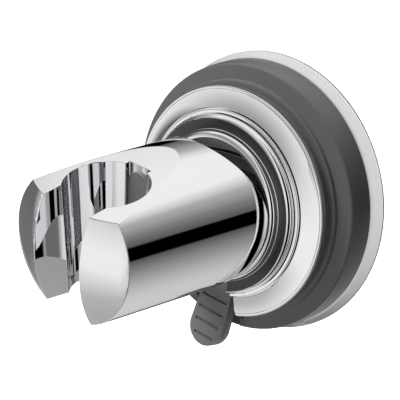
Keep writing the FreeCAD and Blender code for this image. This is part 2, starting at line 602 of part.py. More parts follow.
def make_suction_cup():
    """Clear disc, flat on the wall at its rim and drawn off it in the middle."""
    pocket = ANCHOR_RADIUS + 0.3
    ceiling = ANCHOR_FACE_OUT + ANCHOR_THICKNESS
    return turned(outline([
        (CUP_RADIUS, 0.0), (CUP_RADIUS, CUP_LIP), (CUP_FRONT_RADIUS + 0.4, CUP_FRONT_OUT - 0.5),
        (CUP_FRONT_RADIUS, CUP_FRONT_OUT), (HOUSING_REAR_RADIUS - HOUSING_WALL - 2.0, CUP_FRONT_OUT),
        (CUP_BOSS_RADIUS, CUP_BOSS_OUT), (ANCHOR_SHOULDER_RADIUS + 0.3, CUP_BOSS_OUT),
        (ANCHOR_SHOULDER_RADIUS + 0.3, ceiling), (pocket, ceiling), (pocket, ceiling - DRAW_TRAVEL),
        (pocket + 1.7, ceiling - DRAW_TRAVEL - 0.2), (CUP_SEAL_INNER_RADIUS, 0.0)]))


def make_cup_anchor():
    """Disc and threaded stem moulded into the cup's middle."""
    disc_front = ANCHOR_FACE_OUT + ANCHOR_THICKNESS
    anchor = disc(ANCHOR_RADIUS, (ANCHOR_FACE_OUT, disc_front))
    anchor = anchor.fuse(disc(ANCHOR_SHOULDER_RADIUS, (ANCHOR_FACE_OUT, DRAW_BOSS_FOOT_OUT)))
    anchor = anchor.fuse(disc(ANCHOR_THREAD_RADIUS, (ANCHOR_FACE_OUT, DRAW_PLATE_FRONT_OUT)))
    return anchor.removeSplitter()


def make_draw_plate():
    """Forked plate that the lever's cams lift, with a boss guided in the housing."""
    out = (DRAW_PLATE_REAR_OUT, DRAW_PLATE_FRONT_OUT)
    plate = disc(DRAW_PLATE_RADIUS, out)
    plate = plate.fuse(block(HUB_LENGTH, out, (FORK_END_RISE, 0.0)))
    plate = plate.cut(block(FORK_INNER_WIDTH, (0.0, BEYOND), (-BEYOND, PIN_RISE + HUB_RADIUS + CAM_REACH)))
    plate = plate.fuse(disc(DRAW_BOSS_RADIUS, (DRAW_BOSS_FOOT_OUT, DRAW_PLATE_REAR_OUT + 0.1)))
    plate = plate.cut(disc(ANCHOR_THREAD_RADIUS + SCREW_CLEARANCE, (0.0, BEYOND)))
    pocket = (DRAW_PLATE_FRONT_OUT - DRAW_NUT_THICKNESS, BEYOND)
    plate = plate.cut(hexagon(DRAW_NUT_FLATS + 2 * DRAW_NUT_CLEARANCE, pocket))
    return plate.removeSplitter()


def make_draw_nut():
    nut = hexagon(DRAW_NUT_FLATS, (DRAW_PLATE_FRONT_OUT - DRAW_NUT_THICKNESS, DRAW_PLATE_FRONT_OUT))
    return nut.cut(disc(ANCHOR_THREAD_RADIUS + SCREW_CLEARANCE, (0.0, BEYOND)))


def make_lever_pin():
    return cross_bar(PIN_RADIUS, HUB_LENGTH + 2 * (EAR_GAP + EAR_THICKNESS), PIN_OUT, PIN_RISE)


def cam_profile():
    """Cam whose reach falls evenly with the lever's swing: points (rise, out) about the pin."""
    fall = DRAW_TRAVEL / math.radians(LEVER_SWING)
    steps = 6
    points = []
    for step in range(steps):
        swing = math.radians(LEVER_SWING) * step / (steps - 1)
        reach = CAM_REACH - fall * swing
        outward = reach * math.cos(swing) + fall * math.sin(swing)
        downward = reach * math.sin(swing) - fall * math.cos(swing)
        points.append((PIN_RISE - downward, PIN_OUT + outward))
    return points


def make_cam(x_from, x_to):
    curve = Part.BSplineCurve()
    points = [at(x_from, out, rise) for rise, out in cam_profile()]
    curve.interpolate(points)
    foot = HUB_RADIUS * 0.8
    low = at(x_from, PIN_OUT + foot / 2, PIN_RISE - foot)
    back = at(x_from, PIN_OUT, PIN_RISE)
    high = at(x_from, PIN_OUT + foot / 2, PIN_RISE + foot)
    edges = [curve.toShape(), Part.makeLine(points[-1], low), Part.makeLine(low, back),
             Part.makeLine(back, high), Part.makeLine(high, points[0])]
    return Part.Face(Part.Wire(edges)).extrude(Vector(x_to - x_from, 0, 0))


def paddle_slab(inset, near, far):
    """Slab of the paddle's outline, upright and centred, between two depths behind its face."""
    end = PADDLE_LENGTH - PADDLE_END_RADIUS
    top = PADDLE_TOP_WIDTH / 2 - inset
    radius = PADDLE_END_RADIUS - inset
    a = Vector(-top, near, 0)
    b = Vector(-radius, near, -end)
    c = Vector(0, near, -end - radius)
    d = Vector(radius, near, -end)
    e = Vector(top, near, 0)
    wire = Part.Wire([Part.makeLine(a, b), Part.Arc(b, c, d).toShape(), Part.makeLine(d, e), Part.makeLine(e, a)])
    return Part.Face(wire).extrude(Vector(0, far - near, 0))


def rib_groove(length, drop):
    """Round-ended groove across the paddle's face."""
    half = length / 2 - RIB_GROOVE_WIDTH / 2
    rise = (-drop - RIB_GROOVE_WIDTH / 2, -drop + RIB_GROOVE_WIDTH / 2)
    groove = block(2 * half, (-RIB_GROOVE_DEPTH, 1.0), rise)
    for side in (-half, half):
        groove = groove.fuse(disc(RIB_GROOVE_WIDTH / 2, (-RIB_GROOVE_DEPTH, 1.0), (side, -drop)))
    return groove


def make_paddle():
    """Finger paddle with anti-slip grooves, leaning out at its foot."""
    seam_end = PADDLE_FACE_THICKNESS + PADDLE_SEAM
    paddle = paddle_slab(0.0, 0.0, PADDLE_FACE_THICKNESS)
    paddle = paddle.fuse(paddle_slab(PADDLE_SEAM, PADDLE_FACE_THICKNESS / 2, PADDLE_THICKNESS))
    paddle = paddle.fuse(paddle_slab(0.0, seam_end, PADDLE_THICKNESS)).removeSplitter()
    rear_edges = []
    for edge in paddle.Edges:
        box = edge.BoundBox
        if box.YMin > PADDLE_THICKNESS - 0.01 and box.ZMin < -PADDLE_TOP_WIDTH / 2:
            rear_edges.append(edge)
    paddle = paddle.makeFillet(PADDLE_THICKNESS / 4, rear_edges)
    for index in range(RIB_COUNT):
        length = RIB_LAST_LENGTH if index == RIB_COUNT - 1 else RIB_LENGTH
        paddle = paddle.cut(rib_groove(length, RIB_FIRST + index * RIB_PITCH))
    paddle.rotate(Vector(0, 0, 0), X_AXIS, -PADDLE_LEAN)
    paddle.translate(at(0, PADDLE_TOP_OUT, PADDLE_TOP_RISE))
    return paddle


def make_lever():
    """One moulding: hub with two cams, cranked neck and paddle."""
    lever = cross_bar(HUB_RADIUS, HUB_LENGTH, PIN_OUT, PIN_RISE)
    half = HUB_LENGTH / 2
    inner = FORK_INNER_WIDTH / 2
    lever = lever.fuse(make_cam(-half, -inner)).fuse(make_cam(inner, half))
    rear = PADDLE_TOP_OUT - PADDLE_THICKNESS
    neck_points = [
        (PIN_RISE + 1.5, PIN_OUT + HUB_RADIUS - 0.4), (PIN_RISE - 3.0, PIN_OUT + HUB_RADIUS + 0.7),
        (PADDLE_TOP_RISE + LEVER_KINK_RISE, PIN_OUT + HUB_RADIUS + 0.3), (PADDLE_TOP_RISE, PADDLE_TOP_OUT),
        (PADDLE_TOP_RISE - 1.5, PADDLE_TOP_OUT - 1.0), (PADDLE_TOP_RISE - 1.5, rear + 1.5),
        (PADDLE_TOP_RISE, rear + 0.2), (PIN_RISE, PIN_OUT - HUB_RADIUS + 0.2)]
    lever = lever.fuse(side_plate(neck_points, LEVER_NECK_WIDTH)).fuse(make_paddle())
    bore = cross_bar(PIN_RADIUS + PIN_CLEARANCE, BEYOND, PIN_OUT, PIN_RISE)
    return lever.cut(bore).removeSplitter()


MAKERS = {
    "suction_cup": make_suction_cup,
    "cup_anchor": make_cup_anchor,
    "draw_plate": make_draw_plate,
    "draw_nut": make_draw_nut,
    "housing": make_housing,
    "lever_pin": make_lever_pin,
    "lever": make_lever,
    "cover": make_cover,
    "trim_ring": make_trim_ring,
    "foot_ring": make_foot_ring,
    "neck": make_neck,
    "neck_screws": make_neck_screws,
    "tilt_stem": make_tilt_stem,
    "lock_washer": make_lock_washer,
    "lock_nut": make_lock_nut,
    "retaining_plate": make_retaining_plate,
    "plate_screws": make_plate_screws,
    "front_shoe": make_front_shoe,
    "clamp_screw": make_clamp_screw,
    "grip_strip": make_grip_strip,
    "arm": make_arm,
}

os.makedirs("parts", exist_ok=True)
for name, maker in MAKERS.items():
    shape = maker()
    shape.exportStep(f"parts/{name}.step")
    box = shape.BoundBox
    print(f"{name}: {len(shape.Solids)} solids, volume {shape.Volume:.0f}, valid {shape.isValid()}, "
          f"out {-box.YMax:.1f} to {-box.YMin:.1f}, rise {box.ZMin:.1f} to {box.ZMax:.1f}")
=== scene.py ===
import json
import math

import bmesh
import bpy
from bpy.props import FloatProperty, FloatVectorProperty, PointerProperty
from mathutils import Matrix, Vector
from mathutils.kdtree import KDTree


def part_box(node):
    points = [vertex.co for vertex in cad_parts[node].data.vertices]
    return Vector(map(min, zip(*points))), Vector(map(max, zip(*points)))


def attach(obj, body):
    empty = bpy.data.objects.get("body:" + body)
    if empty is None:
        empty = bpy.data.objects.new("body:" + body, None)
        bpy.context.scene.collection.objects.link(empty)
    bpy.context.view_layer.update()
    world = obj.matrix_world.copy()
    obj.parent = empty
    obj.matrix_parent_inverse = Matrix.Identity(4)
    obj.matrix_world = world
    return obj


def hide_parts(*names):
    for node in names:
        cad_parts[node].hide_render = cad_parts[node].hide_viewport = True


bl_info = {
    "name": "Suction Hand Shower Holder",
    "version": (1, 0, 0),
    "blender": (4, 5, 0),
    "location": "View3D > Sidebar > Holder",
    "description": "Builds the visible pieces of a plated hand shower holder round its packed solids",
    "category": "Add Mesh",
}

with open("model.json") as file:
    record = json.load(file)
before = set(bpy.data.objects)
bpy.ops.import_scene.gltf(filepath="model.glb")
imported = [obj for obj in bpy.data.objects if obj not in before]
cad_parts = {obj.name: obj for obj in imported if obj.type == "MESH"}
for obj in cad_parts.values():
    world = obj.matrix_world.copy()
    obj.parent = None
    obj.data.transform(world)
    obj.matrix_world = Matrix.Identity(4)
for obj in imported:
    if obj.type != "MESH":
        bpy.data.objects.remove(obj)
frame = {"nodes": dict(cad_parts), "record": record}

# Metres. The wall is the plane y = 0 and the holder stands out along -Y.
# "Out" is the distance from the wall and "rise" the height above the cup's axis.
FULL_TURN = 2 * math.pi
ROUND_STEPS = 192
FAR = 0.06
WELD = 2e-6
OUTWARD = Matrix.Rotation(math.pi / 2, 4, "X")

# Roundings of turned corners
CRISP = 0.0001
SLIGHT = 0.0002
SOFT = 0.0003
FULL = 0.0006


def length(name, description, default):
    return FloatProperty(name=name, description=description, default=default,
                         subtype="DISTANCE", unit="LENGTH", precision=5)


def angle(name, description, degrees):
    return FloatProperty(name=name, description=description, default=math.radians(degrees),
                         subtype="ANGLE", unit="ROTATION")


def number(name, description, default):
    return FloatProperty(name=name, description=description, default=default, subtype="FACTOR")


def colour(name, description, default):
    return FloatVectorProperty(name=name, description=description, default=default,
                               subtype="COLOR", size=3, min=0.0, max=1.0)


class ArmSizes(bpy.types.PropertyGroup):
    radius: length("Radius at the wall", "The bar's radius, carried back to the wall", 0.02356)
    taper: number("Taper", "How much the radius falls for each unit out", 0.0283)
    dome_out: length("Dome out", "Centre of the domed front, off the wall", 0.0506)
    dome_rise: length("Dome rise", "Centre of the domed front, above the axis", 0.0030)
    dome_radius: length("Dome radius", "Radius of the domed front", 0.03845)
    end_out: length("End out", "Centre of the rounded rear end, off the wall", 0.0543)
    end_rise: length("End rise", "Centre of the rounded rear end, above the axis", 0.0015)
    end_radius: length("End radius", "Radius of the rounded rear end", 0.0270)
    flat_out: length("Flat out", "A point of the top flat, off the wall", 0.0836)
    flat_rise: length("Flat rise", "Height of the top flat at that point", 0.01395)
    flat_slope: number("Flat slope", "Fall of the top flat for each unit out", 0.23)
    socket_out: length("Socket out", "Centre of the socket's mouth, off the wall", 0.07255)
    socket_rise: length("Socket rise", "Height of the socket's mouth", 0.0164)
    socket_lean: angle("Socket lean", "Lean of the socket's axis, outwards at its top", 11.2)
    socket_radius: length("Socket radius", "Radius of the socket at its mouth", 0.0118)
    socket_taper: angle("Socket taper", "Taper of the socket's wall", 1.45)
    slot_width: length("Slot width", "Width of the front slot", 0.0170)
    groove_width: length("Groove width", "Width of the groove at the socket's back", 0.0080)
    groove_depth: length("Groove depth", "Depth of the groove", 0.00085)
    groove_foot: length("Groove foot", "Height of the groove's closed foot", -0.0140)
    edge: length("Edge rounding", "Rounding of the plated edges", 0.00022)
    strip_edge: length("Strip rounding", "Rounding of the strip's edges", 0.00015)


class BaseSizes(bpy.types.PropertyGroup):
    neck_face: length("Neck face", "The neck's front, off the wall", 0.0262)
    neck_radius: length("Neck radius", "Radius of the neck's front", 0.0229)
    neck_edge: length("Neck edge", "Rounding of the neck's front edge", 0.0022)
    neck_wall: length("Neck wall", "Wall of the neck's side", 0.0025)
    front_wall: length("Neck front wall", "Wall of the neck's front", 0.0023)
    stem_bore: length("Stem bore", "Radius of the hole for the tilt stem", 0.00405)
    shoulder_bore: length("Shoulder bore", "Radius of the seat of the stem's shoulder", 0.00705)
    shoulder_depth: length("Shoulder depth", "Depth of that seat", 0.0010)
    ear_gap: length("Ear gap", "Room round the housing's ears", 0.0005)
    cam_top: length("Cam top", "Height of the room for the cams", -0.01315)
    bead_out: length("Bead out", "Centre of the rolled bead, off the wall", 0.0219)
    bead_middle: length("Bead middle", "Radius of the bead's centre line", 0.0250)
    bead_radius: length("Bead radius", "Radius of the bead's roll", 0.0024)
    bead_inner: length("Bead inner", "Radius of the bead's inner edge", 0.0263)
    flare_radius: length("Flare", "Radius of the neck's hollow flare", 0.0006)
    flare_sweep: angle("Flare sweep", "Turn of the flare's arc", 60.0)
    foot_floor: length("Hollow floor", "Floor of the hollow inside the bead, off the wall", 0.0216)
    foot_sink: length("Foot ring sink", "How far the foot ring lies under the edges beside it", 0.0001)
    foot_gap: length("Foot ring gap", "Gap on each side of the foot ring", 0.00005)
    shelf: length("Shelf", "The shelf under the bead and the ring, off the wall", 0.0195)
    trim_gap: length("Trim gap", "Gap on each side of the trim ring", 0.0002)
    trim_width: length("Trim width", "Width of the trim ring", 0.00099)
    trim_front: length("Trim front", "The ring's front, off the wall", 0.0215)
    trim_round: length("Trim rounding", "Rounding of the ring's outer edge", 0.00045)
    cover_radius: length("Cover radius", "Outer radius of the cover", 0.0353)
    cover_front: length("Cover front", "The cover at the trim ring, off the wall", 0.02075)
    cover_rim: length("Cover rim", "The cover at its rim, off the wall", 0.0190)
    cover_dish: length("Cover dish", "How far the cover's face hollows", 0.0002)
    cover_lead: length("Cover lead", "Width of the bevel beside the trim ring", 0.00035)
    cover_drop: length("Cover drop", "Height of that bevel", 0.00025)
    cover_edge: length("Cover edge", "Rounding of the cover's rim", 0.0005)
    cover_wall: length("Cover wall", "Wall of the cover's skirt", 0.0009)
    cover_rear: length("Cover rear", "Rear of the cover's skirt, off the wall", 0.0173)
    tongue_depth: length("Tongue depth", "How far the cover's inner edge hooks under the shelf", 0.0015)
    tongue_width: length("Tongue width", "Width of that hook past the groove", 0.0013)
    lead_sheet: length("Inner sheet", "Thickness of the cover beside the groove", 0.00185)
    lead_reach: length("Inner reach", "Where the cover's thin part starts, past the groove", 0.0020)
    rim_sheet: length("Outer sheet", "Thickness of the cover inside its rim", 0.00145)
    rim_reach: length("Outer reach", "Where that thickness starts, inside the rim", 0.0010)
    notch_width: length("Notch width", "Width of the cover's notch for the lever", 0.0206)
    notch_corner: length("Notch corner", "Rounding of the notch's outer corners", 0.0022)
    corner_lift: number("Corner lift", "Height of the corners' centres for each unit of rounding", 1.15)
    neck_notch: length("Neck notch", "Width of the neck's notch for the lever", 0.0188)


class HousingSizes(bpy.types.PropertyGroup):
    rear_radius: length("Rear radius", "Outer radius at the rear rim", 0.0417)
    front_radius: length("Front radius", "Outer radius at the shoulder", 0.04105)
    step_radius: length("Step radius", "Outer radius of the step", 0.0366)
    tower_radius: length("Tower radius", "Outer radius of the tower under the cover", 0.0348)
    tower_wall: length("Tower wall", "Wall of the tower", 0.0019)
    rim: length("Rim", "The rear rim, off the wall", 0.0040)
    shoulder: length("Shoulder", "The shoulder, off the wall", 0.0125)
    step: length("Step", "Foot of the step, off the wall", 0.0134)
    step_top: length("Step top", "Top of the step, off the wall", 0.0147)
    tower: length("Tower", "Front of the tower, off the wall", 0.0171)
    deck: length("Deck", "Front of the deck, off the wall", 0.0120)
    deck_depth: length("Deck depth", "Thickness of the deck", 0.0022)
    wall: length("Wall", "Wall of the bell", 0.0030)
    belly: length("Belly", "How far the side bulges", 0.00025)
    guide_bore: length("Guide bore", "Radius of the bore for the draw plate", 0.0053)
    guide_wall: length("Guide wall", "Wall of the guide", 0.0022)
    guide: length("Guide", "Front of the guide, off the wall", 0.0162)
    channel_width: length("Channel width", "Width of the lever's channel", 0.0176)
    channel_wall: length("Channel wall", "Wall of the channel", 0.0012)
    channel_floor: length("Channel floor", "The channel's floor, off the wall", 0.0094)
    channel_lip: length("Channel lip", "The channel's lip, off the wall", 0.0113)
    channel_top: length("Channel top", "Height of the channel's upper end", -0.01185)
    channel_end: length("Channel end", "Height of the floor's lower end", -0.03658)
    screw_circle: length("Screw circle", "Radius of the screws' circle", 0.0175)
    screw_hole: length("Screw hole", "Radius of the screw holes", 0.0015)
    ear_middle: length("Ear middle", "Middle of each ear, beside the centre", 0.0101)
    ear_width: length("Ear width", "Thickness of each ear", 0.0024)
    ear_front: length("Ear front", "Front of the ears, off the wall", 0.0172)
    ear_half: length("Ear half height", "Half the height of the ears", 0.0027)
    pin_out: length("Pin out", "The hinge pin, off the wall", 0.0140)
    pin_rise: length("Pin rise", "Height of the hinge pin", -0.0180)
    pin_bore: length("Pin bore", "Radius of the hinge pin's bore", 0.001275)
    bore_length: length("Bore length", "Length of the hinge pin's bore", 0.0400)
    lever_edge: length("Lever rounding", "Rounding of the lever's edges", 0.00012)


class CupSizes(bpy.types.PropertyGroup):
    radius: length("Radius", "Outer radius of the cup", 0.0437)
    lip: length("Lip", "Thickness of the cup's lip", 0.0009)
    front: length("Front", "The cup's front under the housing, off the wall", 0.00395)
    front_radius: length("Front radius", "Radius of the cup's front", 0.0419)
    lip_round: length("Lip rounding", "Rounding of the lip's front edge", 0.0004)
    slope: length("Slope", "Width of the slope beside the front", 0.0004)
    drop: length("Drop", "Height of that slope", 0.0005)
    level: length("Level", "Inner radius of the level part under the housing's rim", 0.0367)
    seal: length("Seal", "Inner radius of the sealing face", 0.0320)
    boss: length("Boss", "Radius of the cup's middle boss", 0.0140)
    boss_out: length("Boss out", "Front of that boss, off the wall", 0.0064)
    hole: length("Hole", "Radius of the hole for the anchor's shoulder", 0.0045)
    pocket: length("Pocket", "Radius of the pocket for the anchor's disc", 0.0103)
    ceiling: length("Ceiling", "Top of that pocket, off the wall", 0.0046)
    travel: length("Travel", "How far the anchor moves to the wall", 0.0020)
    pocket_slope: length("Pocket slope", "Width of the slope round the pocket's mouth", 0.0017)
    mouth_drop: length("Mouth drop", "Height of that slope", 0.0002)


class Finishes(bpy.types.PropertyGroup):
    chrome: colour("Chrome", "Colour of the plating", (0.88, 0.885, 0.895))
    grey: colour("Grey plastic", "Colour of the housing", (0.085, 0.087, 0.090))
    ring: colour("Ring plastic", "Colour of the ring at the neck's foot", (0.040, 0.041, 0.043))
    lever: colour("Lever plastic", "Colour of the lever", (0.17, 0.172, 0.176))
    strip: colour("Strip", "Colour of the strip in the socket", (0.20, 0.205, 0.21))
    clear: colour("Clear vinyl", "Tint of the cup", (0.94, 0.945, 0.95))
    inner: colour("Inner plastic", "Colour of the hidden mouldings", (0.52, 0.52, 0.50))
    steel: colour("Steel", "Colour of the screws and pins", (0.62, 0.62, 0.63))
    # Painted shade: the arm's rounded rear end gets this dark colour so that the neck's face mirrors a dark
    # rear behind the arm.
    painted_shade_end: colour("Painted shade on rear end", "Painted shade on the arm's rounded rear end", (0.10, 0.10, 0.10))


class StageSettings(bpy.types.PropertyGroup):
    camera: FloatVectorProperty(name="Camera", description="Place of the camera", size=3,
                                default=(0.20149, -0.29299, 0.13473), subtype="TRANSLATION",
                                unit="LENGTH")
    azimuth: angle("Azimuth", "Turn of the camera about the vertical", 37.63)
    elevation: angle("Elevation", "Height of the camera over the horizon", 21.70)
    roll: angle("Roll", "Roll of the camera", 9.51)
    lens: FloatProperty(name="Lens", description="Focal length on a 36 mm frame, in millimetres",
                        default=109.56)
    floor: length("Floor", "Height of the floor below the axis", -0.35)


def at(x, out, rise):
    return Vector((x, -out, rise))


def settings(name):
    return getattr(bpy.context.scene, "holder_" + name)


def ramp_node(nodes, stops, kind="LINEAR"):
    node = nodes.new("ShaderNodeValToRGB")
    node.color_ramp.interpolation = kind
    elements = node.color_ramp.elements
    while len(elements) < len(stops):
        elements.new(0.5)
    for element, (place, value) in zip(elements, stops):
        element.position = place
        element.color = (*value, 1.0)[:4] if isinstance(value, tuple) else (value, value, value, 1.0)
    return node


def math_node(nodes, links, operation, *values):
    """Maths node fed by sockets or plain numbers."""
    node = nodes.new("ShaderNodeMath")
    node.operation = operation
    for socket, value in zip(node.inputs, values):
        if isinstance(value, bpy.types.NodeSocket):
            links.new(value, socket)
        else:
            socket.default_value = value
    return node.outputs["Value"]


def material(name, base, metallic=0.0, roughness=0.4, **sockets):
    made = bpy.data.materials.new(name)
    made.use_nodes = True
    shader = made.node_tree.nodes["Principled BSDF"]
    shader.inputs["Base Color"].default_value = (*base, 1.0)
    shader.inputs["Metallic"].default_value = metallic
    shader.inputs["Roughness"].default_value = roughness
    for socket, value in sockets.items():
        shader.inputs[socket.replace("_", " ")].default_value = value
    return made


def noise(made, scale, detail=3.0, stretch=(1.0, 1.0, 1.0)):
    """Noise on the piece's own coordinates."""
    nodes, links = made.node_tree.nodes, made.node_tree.links
    place = nodes.new("ShaderNodeTexCoord")
    mapping = nodes.new("ShaderNodeMapping")
    mapping.inputs["Scale"].default_value = stretch
    texture = nodes.new("ShaderNodeTexNoise")
    texture.inputs["Scale"].default_value = scale
    texture.inputs["Detail"].default_value = detail
    links.new(place.outputs["Object"], mapping.inputs["Vector"])
    links.new(mapping.outputs["Vector"], texture.inputs["Vector"])
    return texture


def vary(made, texture, socket, low, high):
    """Lets a texture move a socket between two values."""
    nodes, links = made.node_tree.nodes, made.node_tree.links
    shader = nodes["Principled BSDF"]
    spread = nodes.new("ShaderNodeMapRange")
    spread.inputs["From Min"].default_value = 0.3
    spread.inputs["From Max"].default_value = 0.7
    spread.inputs["To Min"].default_value = low
    spread.inputs["To Max"].default_value = high
    links.new(texture.outputs["Fac"], spread.inputs["Value"])
    links.new(spread.outputs["Result"], shader.inputs[socket])


def mottle(made, texture, base, spread):
    """Lets a texture darken and lighten the base colour by a small share."""
    nodes, links = made.node_tree.nodes, made.node_tree.links
    mix = nodes.new("ShaderNodeMix")
    mix.data_type = "RGBA"
    mix.inputs["A"].default_value = (*[c * (1 - spread) for c in base], 1.0)
    mix.inputs["B"].default_value = (*[c * (1 + spread) for c in base], 1.0)
    links.new(texture.outputs["Fac"], mix.inputs["Factor"])
    links.new(mix.outputs["Result"], nodes["Principled BSDF"].inputs["Base Color"])


def bump(made, texture, strength, distance):
    nodes, links = made.node_tree.nodes, made.node_tree.links
    node = nodes.new("ShaderNodeBump")
    node.inputs["Strength"].default_value = strength
    node.inputs["Distance"].default_value = distance
    links.new(texture.outputs["Fac"], node.inputs["Height"])
    links.new(node.outputs["Normal"], nodes["Principled BSDF"].inputs["Normal"])


# Noise scales, in waves for each metre
HAZE = 90.0
MOTTLE = 160.0
SATIN = 120.0
GRAIN = 2600.0
GRAIN_DEPTH = 0.000003
BRUSHED = 700.0
BRUSH_DEPTH = 0.00002


def plated(name="Chrome plate"):
    """Bright plating with a trace of haze."""
    base = settings("finish").chrome
    made = material(name, base, metallic=1.0, roughness=0.015)
    vary(made, noise(made, HAZE, 0.0), "Roughness", 0.010, 0.022)
    return made


def arm_plate_with_painted_shade(arm):
    """Plating that stops at the arm's rounded rear end, which is painted dark as painted shade so that the
    neck's face shows a dark reflection behind the arm.
    """
    made = plated("Arm plate with painted shade")
    nodes, links = made.node_tree.nodes, made.node_tree.links
    place = nodes.new("ShaderNodeTexCoord")
    parts = nodes.new("ShaderNodeSeparateXYZ")
    links.new(place.outputs["Object"], parts.inputs["Vector"])
    middle = nodes.new("ShaderNodeCombineXYZ")
    links.new(math_node(nodes, links, "ADD", parts.outputs["Y"], arm.end_out), middle.inputs["Y"])
    links.new(math_node(nodes, links, "SUBTRACT", parts.outputs["Z"], arm.end_rise), middle.inputs["Z"])
    span = nodes.new("ShaderNodeVectorMath")
    span.operation = "LENGTH"
    links.new(middle.outputs["Vector"], span.inputs[0])
    # Mask of the rounded rear end, which takes the painted shade colour in place of the plating.
    skin = 0.00005
    painted_shade_mask = math_node(nodes, links, "GREATER_THAN", span.outputs["Value"], arm.end_radius - skin)
    rear = math_node(nodes, links, "GREATER_THAN", parts.outputs["Y"], -arm.end_out)
    mix = nodes.new("ShaderNodeMix")
    mix.data_type = "RGBA"
    links.new(math_node(nodes, links, "MULTIPLY", painted_shade_mask, rear), mix.inputs["Factor"])
    mix.inputs["A"].default_value = (*settings("finish").chrome, 1.0)
    mix.inputs["B"].default_value = (*settings("finish").painted_shade_end, 1.0)
    links.new(mix.outputs["Result"], nodes["Principled BSDF"].inputs["Base Color"])
    return made


def moulded(name, base, roughness, grain):
    """Moulded plastic with a fine grain."""
    made = material(name, base, roughness=roughness, Specular_IOR_Level=0.45)
    mottle(made, noise(made, MOTTLE), base, 0.04)
    vary(made, noise(made, SATIN, 0.0), "Roughness", roughness - 0.02, roughness + 0.02)
    if grain:
        bump(made, noise(made, GRAIN, 1.0), grain, GRAIN_DEPTH)
    return made


def clear_vinyl():
    base = settings("finish").clear
    made = material("Clear vinyl", base, roughness=0.02, IOR=1.3, Transmission_Weight=1.0)
    vary(made, noise(made, SATIN), "Roughness", 0.01, 0.03)
    return made


def brushed_steel():
    base = settings("finish").steel
    made = material("Brushed steel", base, metallic=1.0, roughness=0.3)
    texture = noise(made, BRUSHED, 4.0, (1.0, 0.1, 1.0))
    vary(made, texture, "Roughness", 0.22, 0.38)
    bump(made, texture, 0.25, BRUSH_DEPTH)
    return made


def solid(name, bm):
    """A new object from a bmesh, which is freed."""
    mesh = bpy.data.meshes.new(name)
    bm.to_mesh(mesh)
    bm.free()
    piece = bpy.data.objects.new(name, mesh)
    bpy.context.scene.collection.objects.link(piece)
    return piece


def keep(piece):
    """Applies the piece's modifiers to its mesh."""
    graph = bpy.context.evaluated_depsgraph_get()
    mesh = bpy.data.meshes.new_from_object(piece.evaluated_get(graph))
    old = piece.data
    piece.modifiers.clear()
    piece.data = mesh
    bpy.data.meshes.remove(old)


def combine(piece, tool, operation):
    change = piece.modifiers.new(operation.lower(), "BOOLEAN")
    change.object = tool
    change.operation = operation
    change.solver = "EXACT"
    keep(piece)
    bpy.data.objects.remove(tool)


def cut(piece, *tools):
    for tool in tools:
        combine(piece, tool, "DIFFERENCE")


def box_tool(width, out, rise, x=0.0):
    bm = bmesh.new()
    size = Matrix.Diagonal((width, out[1] - out[0], rise[1] - rise[0], 1.0))
    place = Matrix.Translation(at(x, (out[0] + out[1]) / 2, (rise[0] + rise[1]) / 2))
    bmesh.ops.create_cube(bm, size=1.0, matrix=place @ size)
    return solid("tool", bm)


def side_tool(points, width):
    """Bar of constant width in x whose side view runs through (out, rise) points."""
    bm = bmesh.new()
    verts = [bm.verts.new(at(-width / 2, out, rise)) for out, rise in points]
    face = bm.faces.new(verts)
    grown = bmesh.ops.extrude_face_region(bm, geom=[face])["geom"]
    moved = [item for item in grown if isinstance(item, bmesh.types.BMVert)]
    bmesh.ops.translate(bm, verts=moved, vec=(width, 0.0, 0.0))
    bmesh.ops.recalc_face_normals(bm, faces=bm.faces)
    return solid("tool", bm)


def rod_tool(radius, out, x=0.0, rise=0.0, steps=64):
    """Round bar along the holder's axis."""
    bm = bmesh.new()
    place = Matrix.Translation(at(x, (out[0] + out[1]) / 2, rise)) @ OUTWARD
    bmesh.ops.create_cone(bm, cap_ends=True, segments=steps, radius1=radius, radius2=radius,
                          depth=out[1] - out[0], matrix=place)
    return solid("tool", bm)


def cross_tool(radius, span, out, rise, steps=48):
    """Round bar across the holder."""
    bm = bmesh.new()
    place = Matrix.Translation(at(0.0, out, rise)) @ Matrix.Rotation(math.pi / 2, 4, "Y")
    bmesh.ops.create_cone(bm, cap_ends=True, segments=steps, radius1=radius, radius2=radius,
                          depth=span, matrix=place)
    return solid("tool", bm)


def arc(centre, radius, start, end, steps):
    """Points of (radius, out) on an arc between two angles in degrees, 0 being away from the axis."""
    points = []
    for step in range(steps + 1):
        turn = math.radians(start + (end - start) * step / steps)
        points.append((centre[0] + radius * math.cos(turn), centre[1] + radius * math.sin(turn)))
    return points


def lathe(name, profile):
    """Closed profile of (radius, out) points, or (radius, out, rounding), spun about the holder's axis."""
    bm = bmesh.new()
    verts = [bm.verts.new(at(point[0], point[1], 0.0)) for point in profile]
    for here, there in zip(verts, verts[1:] + verts[:1]):
        bm.edges.new((here, there))
    for vert, point in zip(verts, profile):
        if len(point) == 3:
            bmesh.ops.bevel(bm, geom=[vert], offset=point[2], offset_type="OFFSET", segments=6,
                            profile=0.5, affect="VERTICES", material=-1)
    bmesh.ops.spin(bm, geom=bm.verts[:] + bm.edges[:], cent=(0, 0, 0), axis=(0, 1, 0),
                   angle=FULL_TURN, steps=ROUND_STEPS, use_merge=True)
    bmesh.ops.remove_doubles(bm, verts=bm.verts, dist=WELD)
    bmesh.ops.recalc_face_normals(bm, faces=bm.faces)
    return solid(name, bm)


